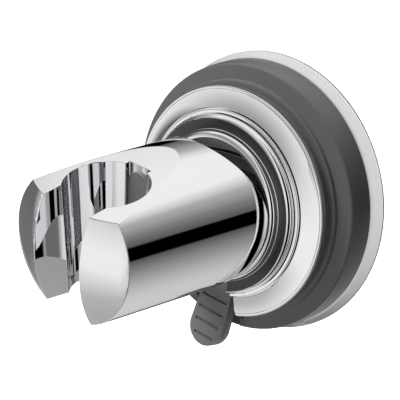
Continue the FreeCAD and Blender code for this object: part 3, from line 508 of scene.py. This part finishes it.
def round_edges(piece, width, least_angle):
    """Rounds the edges that turn by more than the least angle."""
    bm = bmesh.new()
    bm.from_mesh(piece.data)
    bmesh.ops.remove_doubles(bm, verts=bm.verts, dist=WELD)

    def sharp_edges():
        return [e for e in bm.edges if len(e.link_faces) == 2 and e.calc_face_angle() > least_angle]

    rim = list({vert for edge in sharp_edges() for vert in edge.verts})
    bmesh.ops.remove_doubles(bm, verts=rim, dist=width * 0.7)
    rim = list({vert for edge in sharp_edges() for vert in edge.verts})
    tree = KDTree(len(rim))
    for index, vert in enumerate(rim):
        tree.insert(vert.co, index)
    tree.balance()
    on_rim = set(rim)
    close = [v for v in bm.verts if v not in on_rim and tree.find(v.co)[2] < width * 1.4]
    bmesh.ops.dissolve_verts(bm, verts=close)
    bmesh.ops.bevel(bm, geom=sharp_edges(), offset=width, offset_type="OFFSET", segments=3,
                    profile=0.5, affect="EDGES", clamp_overlap=False, material=-1)
    bmesh.ops.remove_doubles(bm, verts=bm.verts, dist=WELD)
    bm.to_mesh(piece.data)
    bm.free()


def soften(piece, width):
    """Rounds the sharp edges of a small moulding."""
    rounding = piece.modifiers.new("rounding", "BEVEL")
    rounding.limit_method = "ANGLE"
    rounding.angle_limit = math.radians(40)
    rounding.width = width
    rounding.segments = 2
    rounding.use_clamp_overlap = False
    keep(piece)


def smooth(piece, sharp_angle=math.radians(35)):
    """Smooth shading that keeps the wide faces true."""
    mesh = piece.data
    for face in mesh.polygons:
        face.use_smooth = True
    mesh.set_sharp_from_angle(angle=sharp_angle)
    weighted = piece.modifiers.new("true faces", "WEIGHTED_NORMAL")
    weighted.keep_sharp = True
    weighted.weight = 80
    keep(piece)


def fit(piece, name, node, body, finish):
    """Names a finished piece, gives it its material and lets it stand for its node."""
    piece.name = name
    piece.data.name = name
    piece.data.materials.clear()
    piece.data.materials.append(finish)
    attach(piece, body)
    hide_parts(node)
    return piece


def copy_of(node):
    """A welded copy of a node's mesh, with its flat faces made whole."""
    bm = bmesh.new()
    bm.from_mesh(frame["nodes"][node].data)
    bmesh.ops.remove_doubles(bm, verts=bm.verts, dist=WELD)
    bmesh.ops.dissolve_limit(bm, angle_limit=math.radians(0.5), verts=bm.verts, edges=bm.edges)
    return solid(node + "_copy", bm)


def socket_axis(arm):
    return Vector((0.0, -math.sin(arm.socket_lean), math.cos(arm.socket_lean)))


def socket_tool(arm):
    """The tapered socket, longer than the arm is thick."""
    above = arm.socket_radius
    below = arm.socket_rise + arm.radius + arm.socket_radius
    fall = math.tan(arm.socket_taper)
    axis = socket_axis(arm)
    centre = at(0.0, arm.socket_out, arm.socket_rise) + axis * (above - below) / 2
    bm = bmesh.new()
    place = Matrix.Translation(centre) @ Matrix.Rotation(arm.socket_lean, 4, "X")
    bmesh.ops.create_cone(bm, cap_ends=True, segments=ROUND_STEPS, radius1=arm.socket_radius - fall * below,
                          radius2=arm.socket_radius + fall * above, depth=above + below, matrix=place)
    return solid("tool", bm)


def groove_back(arm, rise):
    """Distance from the wall of the groove's back, at a height on the centre line."""
    mouth = arm.socket_out - arm.socket_radius / math.cos(arm.socket_lean) - arm.groove_depth
    return mouth + (rise - arm.socket_rise) * math.tan(arm.socket_lean - arm.socket_taper)


def arm_blank(arm):
    """The tapered bar with its dome, rear end and top flat."""
    spare = 0.002
    rear = arm.end_out - arm.end_radius - spare
    front = arm.dome_out + arm.dome_radius + spare
    bm = bmesh.new()
    place = Matrix.Translation(at(0.0, (rear + front) / 2, 0.0)) @ OUTWARD
    bmesh.ops.create_cone(bm, cap_ends=True, segments=ROUND_STEPS, radius1=arm.radius - arm.taper * rear,
                          radius2=arm.radius - arm.taper * front, depth=front - rear, matrix=place)
    blank = solid("arm_shell", bm)
    bm = bmesh.new()
    place = Matrix.Translation(at(0.0, arm.dome_out, arm.dome_rise)) @ OUTWARD
    bmesh.ops.create_uvsphere(bm, u_segments=ROUND_STEPS, v_segments=ROUND_STEPS // 2,
                              radius=arm.dome_radius, matrix=place)
    combine(blank, solid("tool", bm), "INTERSECT")
    end = arc((arm.end_out, arm.end_rise), arm.end_radius, 90, 270, ROUND_STEPS // 2)
    end += [(-FAR, arm.end_rise - arm.end_radius), (-FAR, arm.end_rise + arm.end_radius)]
    high = (arm.flat_out - FAR, arm.flat_rise + arm.flat_slope * FAR)
    low = (arm.flat_out + FAR, arm.flat_rise - arm.flat_slope * FAR)
    cut(blank, side_tool(end, 2 * FAR), side_tool([high, low, (low[0], FAR), (high[0], FAR)], 2 * FAR))
    return blank


class HOLDER_OT_arm(bpy.types.Operator):
    """Builds the arm with its socket, slot and groove"""
    bl_idname = "holder.arm"
    bl_label = "Arm"

    def execute(self, context):
        arm = settings("arm")
        piece = arm_blank(arm)
        middle = arm.socket_out - arm.socket_rise * math.tan(arm.socket_lean)
        foot, top = arm.groove_foot, arm.socket_rise + arm.socket_radius
        groove = [(groove_back(arm, foot), foot), (groove_back(arm, top), top),
                  (arm.socket_out, top), (arm.socket_out - arm.socket_radius / 2, foot)]
        cut(piece, socket_tool(arm), box_tool(arm.slot_width, (middle, middle + FAR), (-FAR, FAR)),
            side_tool(groove, arm.groove_width))
        round_edges(piece, arm.edge, math.radians(8))
        smooth(piece)
        fit(piece, "arm_shell", "arm", "arm", arm_plate_with_painted_shade(arm))
        return {"FINISHED"}


class HOLDER_OT_strip(bpy.types.Operator):
    """Builds the soft strip in the socket's groove"""
    bl_idname = "holder.strip"
    bl_label = "Strip"

    def execute(self, context):
        piece = copy_of("grip_strip")
        soften(piece, settings("arm").strip_edge)
        smooth(piece)
        fit(piece, "soft_strip", "grip_strip", "arm",
            moulded("Strip", settings("finish").strip, 0.6, 0.2))
        return {"FINISHED"}


def flare_end(base):
    """Radius and distance from the wall of the flare's foot."""
    return (base.neck_radius + base.flare_radius * (1 - math.cos(base.flare_sweep)),
            base.neck_face - base.neck_edge - base.flare_radius * math.sin(base.flare_sweep))


def bead_crest(base):
    """Distance from the wall of the bead's inner edge."""
    return base.bead_out + math.sqrt(base.bead_radius ** 2 - (base.bead_inner - base.bead_middle) ** 2)


class HOLDER_OT_foot_ring(bpy.types.Operator):
    """Builds the dark ring at the neck's foot"""
    bl_idname = "holder.foot_ring"
    bl_label = "Foot ring"

    def execute(self, context):
        base = settings("base")
        flare_radius, flare_out = flare_end(base)
        inner, outer = flare_radius + base.foot_gap, base.bead_inner - base.foot_gap
        piece = lathe("dark_ring", [(inner, base.foot_floor), (inner, flare_out - base.foot_sink, CRISP),
                                    (outer, bead_crest(base) - base.foot_sink, CRISP),
                                    (outer, base.foot_floor)])
        cut(piece, box_tool(base.neck_notch, (0.0, FAR), (-FAR, 0.0)))
        smooth(piece)
        fit(piece, "dark_ring", "foot_ring", "base",
            moulded("Ring plastic", settings("finish").ring, 0.3, 0.0))
        return {"FINISHED"}


class HOLDER_OT_neck(bpy.types.Operator):
    """Builds the neck with its hollow and its rolled bead"""
    bl_idname = "holder.neck"
    bl_label = "Neck"

    def execute(self, context):
        base, bell = settings("base"), settings("housing")
        bead_edge = base.bead_middle + base.bead_radius
        rear = -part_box("neck")[1].y
        inner_radius = base.neck_radius - base.neck_wall
        inside = base.neck_face - base.front_wall
        seat = base.neck_face - base.shoulder_depth
        crest = bead_crest(base)
        profile = [(base.stem_bore, inside), (base.stem_bore, seat), (base.shoulder_bore, seat),
                   (base.shoulder_bore, base.neck_face, SLIGHT)]
        profile += arc((base.neck_radius - base.neck_edge, base.neck_face - base.neck_edge), base.neck_edge,
                       90, 0, 20)
        profile += arc((base.neck_radius + base.flare_radius, base.neck_face - base.neck_edge),
                       base.flare_radius, 180, 180 + math.degrees(base.flare_sweep), 24)[1:]
        profile += [(flare_end(base)[0], base.foot_floor), (base.bead_inner, base.foot_floor),
                    (base.bead_inner, crest, CRISP)]
        lean = math.degrees(math.atan2(crest - base.bead_out, base.bead_inner - base.bead_middle))
        profile += arc((base.bead_middle, base.bead_out), base.bead_radius, lean, 0, 12)[1:]
        profile += [(bead_edge, base.shelf, SOFT), (base.neck_radius, base.shelf),
                    (base.neck_radius, rear, SOFT), (inner_radius, rear, SOFT), (inner_radius, inside)]
        piece = lathe("neck_shell", profile)
        ears_width = 2 * (bell.ear_middle + bell.ear_width / 2 + base.ear_gap)
        ears_top = bell.pin_rise + bell.ear_half + base.ear_gap
        cut(piece, box_tool(base.neck_notch, (0.0, inside - base.ear_gap), (-FAR, base.cam_top)),
            box_tool(base.neck_notch, (0.0, FAR), (-FAR, -base.neck_radius)),
            box_tool(ears_width, (0.0, bell.ear_front + base.ear_gap), (-FAR, ears_top)))
        smooth(piece)
        fit(piece, "neck_shell", "neck", "base", plated())
        return {"FINISHED"}


class HOLDER_OT_cover(bpy.types.Operator):
    """Builds the dished cover and the trim ring in its groove"""
    bl_idname = "holder.cover"
    bl_label = "Cover and ring"

    def execute(self, context):
        base = settings("base")
        bead_edge = base.bead_middle + base.bead_radius
        ring_in = bead_edge + base.trim_gap
        ring_out = ring_in + base.trim_width
        ring = lathe("trim_band", [(ring_in, base.shelf), (ring_in, base.trim_front, CRISP),
                                   (ring_out, base.trim_front, base.trim_round), (ring_out, base.shelf)])
        cut(ring, box_tool(base.neck_notch, (0.0, FAR), (-FAR, 0.0)))
        smooth(ring)
        fit(ring, "trim_band", "trim_ring", "base", plated())
        wall = ring_out + base.trim_gap
        face_start = (wall + base.cover_lead, base.cover_front)
        face_end = (base.cover_radius - 2 * base.cover_edge, base.cover_rim)
        steps = 24
        face = []
        for step in range(steps + 1):
            share = step / steps
            radius = face_start[0] + (face_end[0] - face_start[0]) * share
            out = face_start[1] + (face_end[1] - face_start[1]) * share
            face.append((radius, out - base.cover_dish * 4 * share * (1 - share)))
        edge_middle = (base.cover_radius - base.cover_edge, base.cover_rim - base.cover_edge / 2)
        tongue = base.shelf - base.tongue_depth
        inner = base.neck_radius + base.trim_gap
        profile = [(inner, tongue), (inner, base.shelf), (wall, base.shelf),
                   (wall, base.cover_front - base.cover_drop)] + face
        profile += arc(edge_middle, base.cover_edge, 120, 0, 10)
        profile += [(base.cover_radius, base.cover_rear, CRISP),
                    (base.cover_radius - base.cover_wall, base.cover_rear),
                    (base.cover_radius - base.rim_reach, base.cover_rim - base.rim_sheet),
                    (wall + base.lead_reach, base.cover_front - base.lead_sheet),
                    (wall + base.tongue_width, tongue)]
        piece = lathe("cover_plate", profile)
        cut(piece, box_tool(base.notch_width, (0.0, FAR), (-FAR, 0.0)))
        edge_rise = -math.sqrt(base.cover_radius ** 2 - (base.notch_width / 2) ** 2)
        size = base.notch_corner
        for side in (-1, 1):
            centre = (side * (base.notch_width / 2 + size), edge_rise + size * base.corner_lift)
            corner = box_tool(size, (0.0, FAR), (edge_rise - 2 * size, centre[1]),
                              side * (base.notch_width + size) / 2)
            cut(corner, rod_tool(size, (-FAR, 2 * FAR), centre[0], centre[1]))
            cut(piece, corner)
        smooth(piece)
        fit(piece, "cover_plate", "cover", "base", plated())
        return {"FINISHED"}


# Places of the neck's three screws round the axis, in degrees
SCREW_TURNS = (90, 200, 340)


class HOLDER_OT_housing(bpy.types.Operator):
    """Builds the dark bell that presses the cup to the wall"""
    bl_idname = "holder.housing"
    bl_label = "Housing"

    def execute(self, context):
        bell, base = settings("housing"), settings("base")
        deck_rear = bell.deck - bell.deck_depth
        guide_radius = bell.guide_bore + bell.guide_wall
        tower_inner = bell.tower_radius - bell.tower_wall
        inner = bell.rear_radius - bell.wall
        profile = [(bell.guide_bore, deck_rear), (bell.guide_bore, bell.guide), (guide_radius, bell.guide),
                   (guide_radius, bell.deck), (tower_inner, bell.deck), (tower_inner, bell.tower),
                   (bell.tower_radius, bell.tower, SOFT), (bell.tower_radius, bell.step_top + SOFT),
                   (bell.step_radius, bell.step_top, FULL), (bell.step_radius, bell.step, SLIGHT),
                   (bell.front_radius, bell.shoulder, FULL)]
        steps = 9
        for step in range(1, steps):
            share = step / steps
            swell = bell.belly * 4 * share * (1 - share)
            profile.append((bell.front_radius + (bell.rear_radius - bell.front_radius) * share + swell,
                            bell.shoulder + (bell.rim - bell.shoulder) * share))
        profile += [(bell.rear_radius, bell.rim, SOFT), (inner, bell.rim, SLIGHT), (inner, deck_rear)]
        piece = lathe("bell_housing", profile)
        half = bell.channel_width / 2 + bell.channel_wall
        low_end = -math.sqrt((bell.rear_radius - bell.wall / 2) ** 2 - half ** 2)
        combine(piece, box_tool(2 * half, (bell.channel_floor - bell.channel_wall, bell.deck),
                                (low_end, bell.channel_top + bell.channel_wall)), "UNION")
        top = bell.channel_top
        cut(piece, box_tool(bell.channel_width, (bell.channel_floor, FAR), (bell.channel_end, top)),
            box_tool(bell.channel_width, (bell.channel_lip, FAR), (-FAR, top)),
            box_tool(base.notch_width, (bell.deck, FAR), (-bell.step_radius, -base.neck_radius)))
        for turn in SCREW_TURNS:
            x = bell.screw_circle * math.cos(math.radians(turn))
            rise = bell.screw_circle * math.sin(math.radians(turn))
            cut(piece, rod_tool(bell.screw_hole, (0.0, FAR), x, rise))
        for side in (-1, 1):
            combine(piece, box_tool(bell.ear_width, (deck_rear, bell.ear_front),
                                    (bell.pin_rise - bell.ear_half, bell.pin_rise + bell.ear_half),
                                    side * bell.ear_middle), "UNION")
        cut(piece, cross_tool(bell.pin_bore, bell.bore_length, bell.pin_out, bell.pin_rise))
        smooth(piece)
        fit(piece, "bell_housing", "housing", "base",
            moulded("Grey plastic", settings("finish").grey, 0.3, 0.0))
        return {"FINISHED"}


class HOLDER_OT_lever(bpy.types.Operator):
    """Builds the cam lever with its ribbed paddle"""
    bl_idname = "holder.lever"
    bl_label = "Lever"

    def execute(self, context):
        piece = copy_of("lever")
        soften(piece, settings("housing").lever_edge)
        smooth(piece)
        fit(piece, "cam_lever", "lever", "lever",
            moulded("Lever plastic", settings("finish").lever, 0.42, 0.15))
        return {"FINISHED"}


class HOLDER_OT_cup(bpy.types.Operator):
    """Builds the clear suction cup"""
    bl_idname = "holder.cup"
    bl_label = "Suction cup"

    def execute(self, context):
        cup = settings("cup")
        mouth = cup.ceiling - cup.travel
        profile = [(cup.radius, 0.0), (cup.radius, cup.lip, cup.lip_round),
                   (cup.front_radius + cup.slope, cup.front - cup.drop, SOFT),
                   (cup.front_radius, cup.front), (cup.level, cup.front), (cup.boss, cup.boss_out),
                   (cup.hole, cup.boss_out), (cup.hole, cup.ceiling), (cup.pocket, cup.ceiling),
                   (cup.pocket, mouth), (cup.pocket + cup.pocket_slope, mouth - cup.mouth_drop),
                   (cup.seal, 0.0)]
        piece = lathe("clear_cup", profile)
        smooth(piece)
        fit(piece, "clear_cup", "suction_cup", "base", clear_vinyl())
        return {"FINISHED"}


class HOLDER_OT_inner_parts(bpy.types.Operator):
    """Gives the hidden pieces their finishes"""
    bl_idname = "holder.inner_parts"
    bl_label = "Inner parts"

    def execute(self, context):
        finishes = {"steel": brushed_steel(),
                    "inner_plastic": moulded("Inner plastic", settings("finish").inner, 0.5, 0.1)}
        for row in frame["record"]["subparts"]:
            finish = finishes.get(row["material_slot"])
            if finish:
                mesh = frame["nodes"][row["node"]].data
                mesh.materials.clear()
                mesh.materials.append(finish)
        return {"FINISHED"}


def floor_material():
    """Pale floor that reads as the white background and still takes a shadow."""
    made = material("Floor", (0.9, 0.9, 0.9), roughness=0.9)
    nodes, links = made.node_tree.nodes, made.node_tree.links
    path = nodes.new("ShaderNodeLightPath")
    glow = nodes.new("ShaderNodeEmission")
    glow.inputs["Color"].default_value = (1.0, 1.0, 1.0, 1.0)
    links.new(path.outputs["Is Camera Ray"], glow.inputs["Strength"])
    both = nodes.new("ShaderNodeAddShader")
    links.new(nodes["Principled BSDF"].outputs["BSDF"], both.inputs[0])
    links.new(glow.outputs["Emission"], both.inputs[1])
    links.new(both.outputs["Shader"], nodes["Material Output"].inputs["Surface"])
    return made


# Brightness of the studio against height, from straight down (0) to straight up (1), for each side.
WALL_SIDE = [(0.0, 0.80), (0.15, 0.62), (0.30, 0.32), (0.44, 0.10), (0.452, 0.0), (0.562, 0.0),
             (0.575, 0.10), (0.66, 0.22), (0.75, 0.45), (0.82, 0.95), (1.0, 1.0)]
LEFT_SIDE = [(0.0, 0.50), (0.17, 0.35), (0.22, 0.18), (0.45, 0.14), (0.53, 0.07), (0.62, 0.12),
             (0.75, 0.50), (0.82, 0.90)]
RIGHT_SIDE = [(0.0, 0.50), (0.25, 0.45), (0.41, 0.75), (0.59, 0.90), (0.75, 0.80), (1.0, 0.90)]
FRONT_SIDE = [(0.0, 0.42), (0.08, 0.50), (0.15, 0.72), (0.23, 0.93), (0.33, 0.95), (0.42, 0.88),
              (0.52, 0.76), (0.62, 0.55), (0.75, 0.30), (0.86, 0.30), (1.0, 0.80)]
# Share of the wall's side, the left and the right against the azimuth, -Y being 0 and 1 and +Y 0.5.
# The black card's fourth number, 0, takes all light away.
FRONT, LEFT, WALL, RIGHT = (0, 0, 0), (0, 1, 0), (1, 0, 0), (0, 0, 1)
BLACK_CARD = (0, 0, 1, 0)
SIDE_SHARES = [(0.0, FRONT), (0.17, FRONT), (0.21, LEFT), (0.315, LEFT), (0.345, WALL), (0.69, WALL),
               (0.695, BLACK_CARD), (0.725, BLACK_CARD), (0.735, RIGHT), (0.765, RIGHT),
               (0.775, BLACK_CARD), (0.845, BLACK_CARD), (0.855, RIGHT), (0.90, RIGHT),
               (0.95, FRONT), (1.0, FRONT)]
EVEN_COLOUR = (0.95, 0.97, 1.0)
EVEN_STRENGTH = 0.15
# Limits of the cosine between a ray and the view, for the white behind the clear cup
# and for the dark that outlines the plating.
BEHIND = (0.90, 0.98)
OUTLINE = (0.93, 0.97)
# Name, place, size in metres and power in watts
LAMPS = (("key", (-0.5, -0.35, 0.8), 0.5, 18.0), ("fill", (0.7, -0.5, 0.25), 0.7, 1.0))
LAMP_AIM = (0.0, -0.04, 0.0)
FLOOR_SIZE = 6.0
FRAME_WIDTH = 36.0


def ranged(nodes, links, value, low, high):
    """The value mapped from between two limits to between 0 and 1."""
    node = nodes.new("ShaderNodeMapRange")
    node.inputs["From Min"].default_value = low
    node.inputs["From Max"].default_value = high
    links.new(value, node.inputs["Value"])
    return node.outputs["Result"]


def background(nodes, links, tint, strength=1.0):
    node = nodes.new("ShaderNodeBackground")
    node.inputs["Strength"].default_value = strength
    if isinstance(tint, bpy.types.NodeSocket):
        links.new(tint, node.inputs["Color"])
    else:
        node.inputs["Color"].default_value = (*tint, 1.0)
    return node.outputs["Background"]


def blend(nodes, links, share, first, second):
    node = nodes.new("ShaderNodeMixShader")
    links.new(share, node.inputs["Fac"])
    links.new(first, node.inputs[1])
    links.new(second, node.inputs[2])
    return node.outputs["Shader"]


def studio_colour(nodes, links, direction):
    """Brightness of the room in a direction."""
    parts = nodes.new("ShaderNodeSeparateXYZ")
    links.new(direction, parts.inputs["Vector"])
    height = ranged(nodes, links, parts.outputs["Z"], -1.0, 1.0)
    turn = math_node(nodes, links, "ARCTAN2", parts.outputs["X"], parts.outputs["Y"])
    shares = ramp_node(nodes, SIDE_SHARES)
    links.new(ranged(nodes, links, turn, -math.pi, math.pi), shares.inputs["Fac"])
    split = nodes.new("ShaderNodeSeparateColor")
    links.new(shares.outputs["Color"], split.inputs["Color"])
    room = ramp_node(nodes, FRONT_SIDE)
    links.new(height, room.inputs["Fac"])
    result = room.outputs["Color"]
    for share, stops in (("Red", WALL_SIDE), ("Green", LEFT_SIDE), ("Blue", RIGHT_SIDE)):
        side = ramp_node(nodes, stops)
        links.new(height, side.inputs["Fac"])
        mix = nodes.new("ShaderNodeMix")
        mix.data_type = "RGBA"
        links.new(split.outputs[share], mix.inputs["Factor"])
        links.new(result, mix.inputs["A"])
        links.new(side.outputs["Color"], mix.inputs["B"])
        result = mix.outputs["Result"]
    card = nodes.new("ShaderNodeMix")
    card.data_type = "RGBA"
    card.inputs["A"].default_value = (0.0, 0.0, 0.0, 1.0)
    links.new(shares.outputs["Alpha"], card.inputs["Factor"])
    links.new(result, card.inputs["B"])
    return card.outputs["Result"]


def studio_world(view):
    """A room seen by the plating, an even light for the rest, and white behind the holder."""
    world = bpy.data.worlds.new("Studio")
    world.use_nodes = True
    nodes, links = world.node_tree.nodes, world.node_tree.links
    nodes.remove(nodes["Background"])
    direction = nodes.new("ShaderNodeTexCoord").outputs["Generated"]
    room = background(nodes, links, studio_colour(nodes, links, direction))
    even = background(nodes, links, EVEN_COLOUR, EVEN_STRENGTH)
    white = background(nodes, links, (1.0, 1.0, 1.0))
    path = nodes.new("ShaderNodeLightPath")
    along = nodes.new("ShaderNodeVectorMath")
    along.operation = "DOT_PRODUCT"
    along.inputs[1].default_value = view
    links.new(direction, along.inputs[0])
    behind = ranged(nodes, links, along.outputs["Value"], *BEHIND)
    black = background(nodes, links, (0.0, 0.0, 0.0))
    outline = math_node(nodes, links, "MULTIPLY", path.outputs["Is Glossy Ray"],
                        ranged(nodes, links, along.outputs["Value"], *OUTLINE))
    room = blend(nodes, links, outline, room, black)
    through = path.outputs["Is Transmission Ray"]
    seen = math_node(nodes, links, "MAXIMUM", path.outputs["Is Camera Ray"],
                     math_node(nodes, links, "MULTIPLY", through, behind))
    sharp = math_node(nodes, links, "MAXIMUM", path.outputs["Is Glossy Ray"], through)
    lit = blend(nodes, links, sharp, even, room)
    links.new(blend(nodes, links, seen, lit, white), nodes["World Output"].inputs["Surface"])
    bpy.context.scene.world = world


def lamp(name, place, size, power):
    """Soft square lamp that points at the holder and doesn't show in the plating."""
    light = bpy.data.lights.new(name, "AREA")
    light.size = size
    light.energy = power
    holder = bpy.data.objects.new(name, light)
    holder.location = place
    aim = Vector(LAMP_AIM) - Vector(place)
    holder.rotation_euler = aim.to_track_quat("-Z", "Y").to_euler()
    holder.visible_glossy = False
    bpy.context.scene.collection.objects.link(holder)


class HOLDER_OT_stage(bpy.types.Operator):
    """Sets the floor, the lamps, the room and the camera"""
    bl_idname = "holder.stage"
    bl_label = "Stage"

    def execute(self, context):
        stage = settings("stage")
        scene = context.scene
        bm = bmesh.new()
        bmesh.ops.create_grid(bm, x_segments=1, y_segments=1, size=FLOOR_SIZE,
                              matrix=Matrix.Translation((0.0, 0.0, stage.floor)))
        floor = solid("floor", bm)
        floor.data.materials.append(floor_material())
        floor.visible_glossy = False
        for name, place, size, power in LAMPS:
            lamp(name, place, size, power)
        turn, lift = stage.azimuth, stage.elevation
        back = Vector((math.sin(turn) * math.cos(lift), -math.cos(turn) * math.cos(lift), math.sin(lift)))
        studio_world(-back)
        level = Vector((math.cos(turn), math.sin(turn), 0.0))
        upright = back.cross(level)
        right = level * math.cos(stage.roll) + upright * math.sin(stage.roll)
        up = back.cross(right)
        data = bpy.data.cameras.new("camera")
        data.lens = stage.lens
        data.sensor_width = FRAME_WIDTH
        camera = bpy.data.objects.new("camera", data)
        camera.matrix_world = (Matrix.Translation(stage.camera)
                               @ Matrix((right, up, back)).transposed().to_4x4())
        scene.collection.objects.link(camera)
        scene.camera = camera
        scene.view_settings.view_transform = "Standard"
        return {"FINISHED"}


class HOLDER_PT_panel(bpy.types.Panel):
    """Lists the pieces of the holder"""
    bl_idname = "HOLDER_PT_panel"
    bl_label = "Hand shower holder"
    bl_space_type = "VIEW_3D"
    bl_region_type = "UI"
    bl_category = "Holder"

    def draw(self, context):
        for operator in OPERATORS:
            self.layout.operator(operator.bl_idname)
        for group in GROUPS:
            box = self.layout.box()
            for name in GROUPS[group].__annotations__:
                box.prop(settings(group), name)


GROUPS = {"arm": ArmSizes, "base": BaseSizes, "housing": HousingSizes, "cup": CupSizes,
          "finish": Finishes, "stage": StageSettings}
OPERATORS = (HOLDER_OT_arm, HOLDER_OT_strip, HOLDER_OT_neck, HOLDER_OT_foot_ring, HOLDER_OT_cover,
             HOLDER_OT_housing, HOLDER_OT_lever, HOLDER_OT_cup, HOLDER_OT_inner_parts, HOLDER_OT_stage)


def register():
    for group, sizes in GROUPS.items():
        bpy.utils.register_class(sizes)
        setattr(bpy.types.Scene, "holder_" + group, PointerProperty(type=sizes))
    for operator in OPERATORS:
        bpy.utils.register_class(operator)
    bpy.utils.register_class(HOLDER_PT_panel)


def unregister():
    bpy.utils.unregister_class(HOLDER_PT_panel)
    for operator in reversed(OPERATORS):
        bpy.utils.unregister_class(operator)
    for group, sizes in GROUPS.items():
        delattr(bpy.types.Scene, "holder_" + group)
        bpy.utils.unregister_class(sizes)


def main():
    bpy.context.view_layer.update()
    register()
    for operator in OPERATORS:
        category, name = operator.bl_idname.split(".")
        getattr(getattr(bpy.ops, category), name)()


if __name__ == "__main__":
    main()
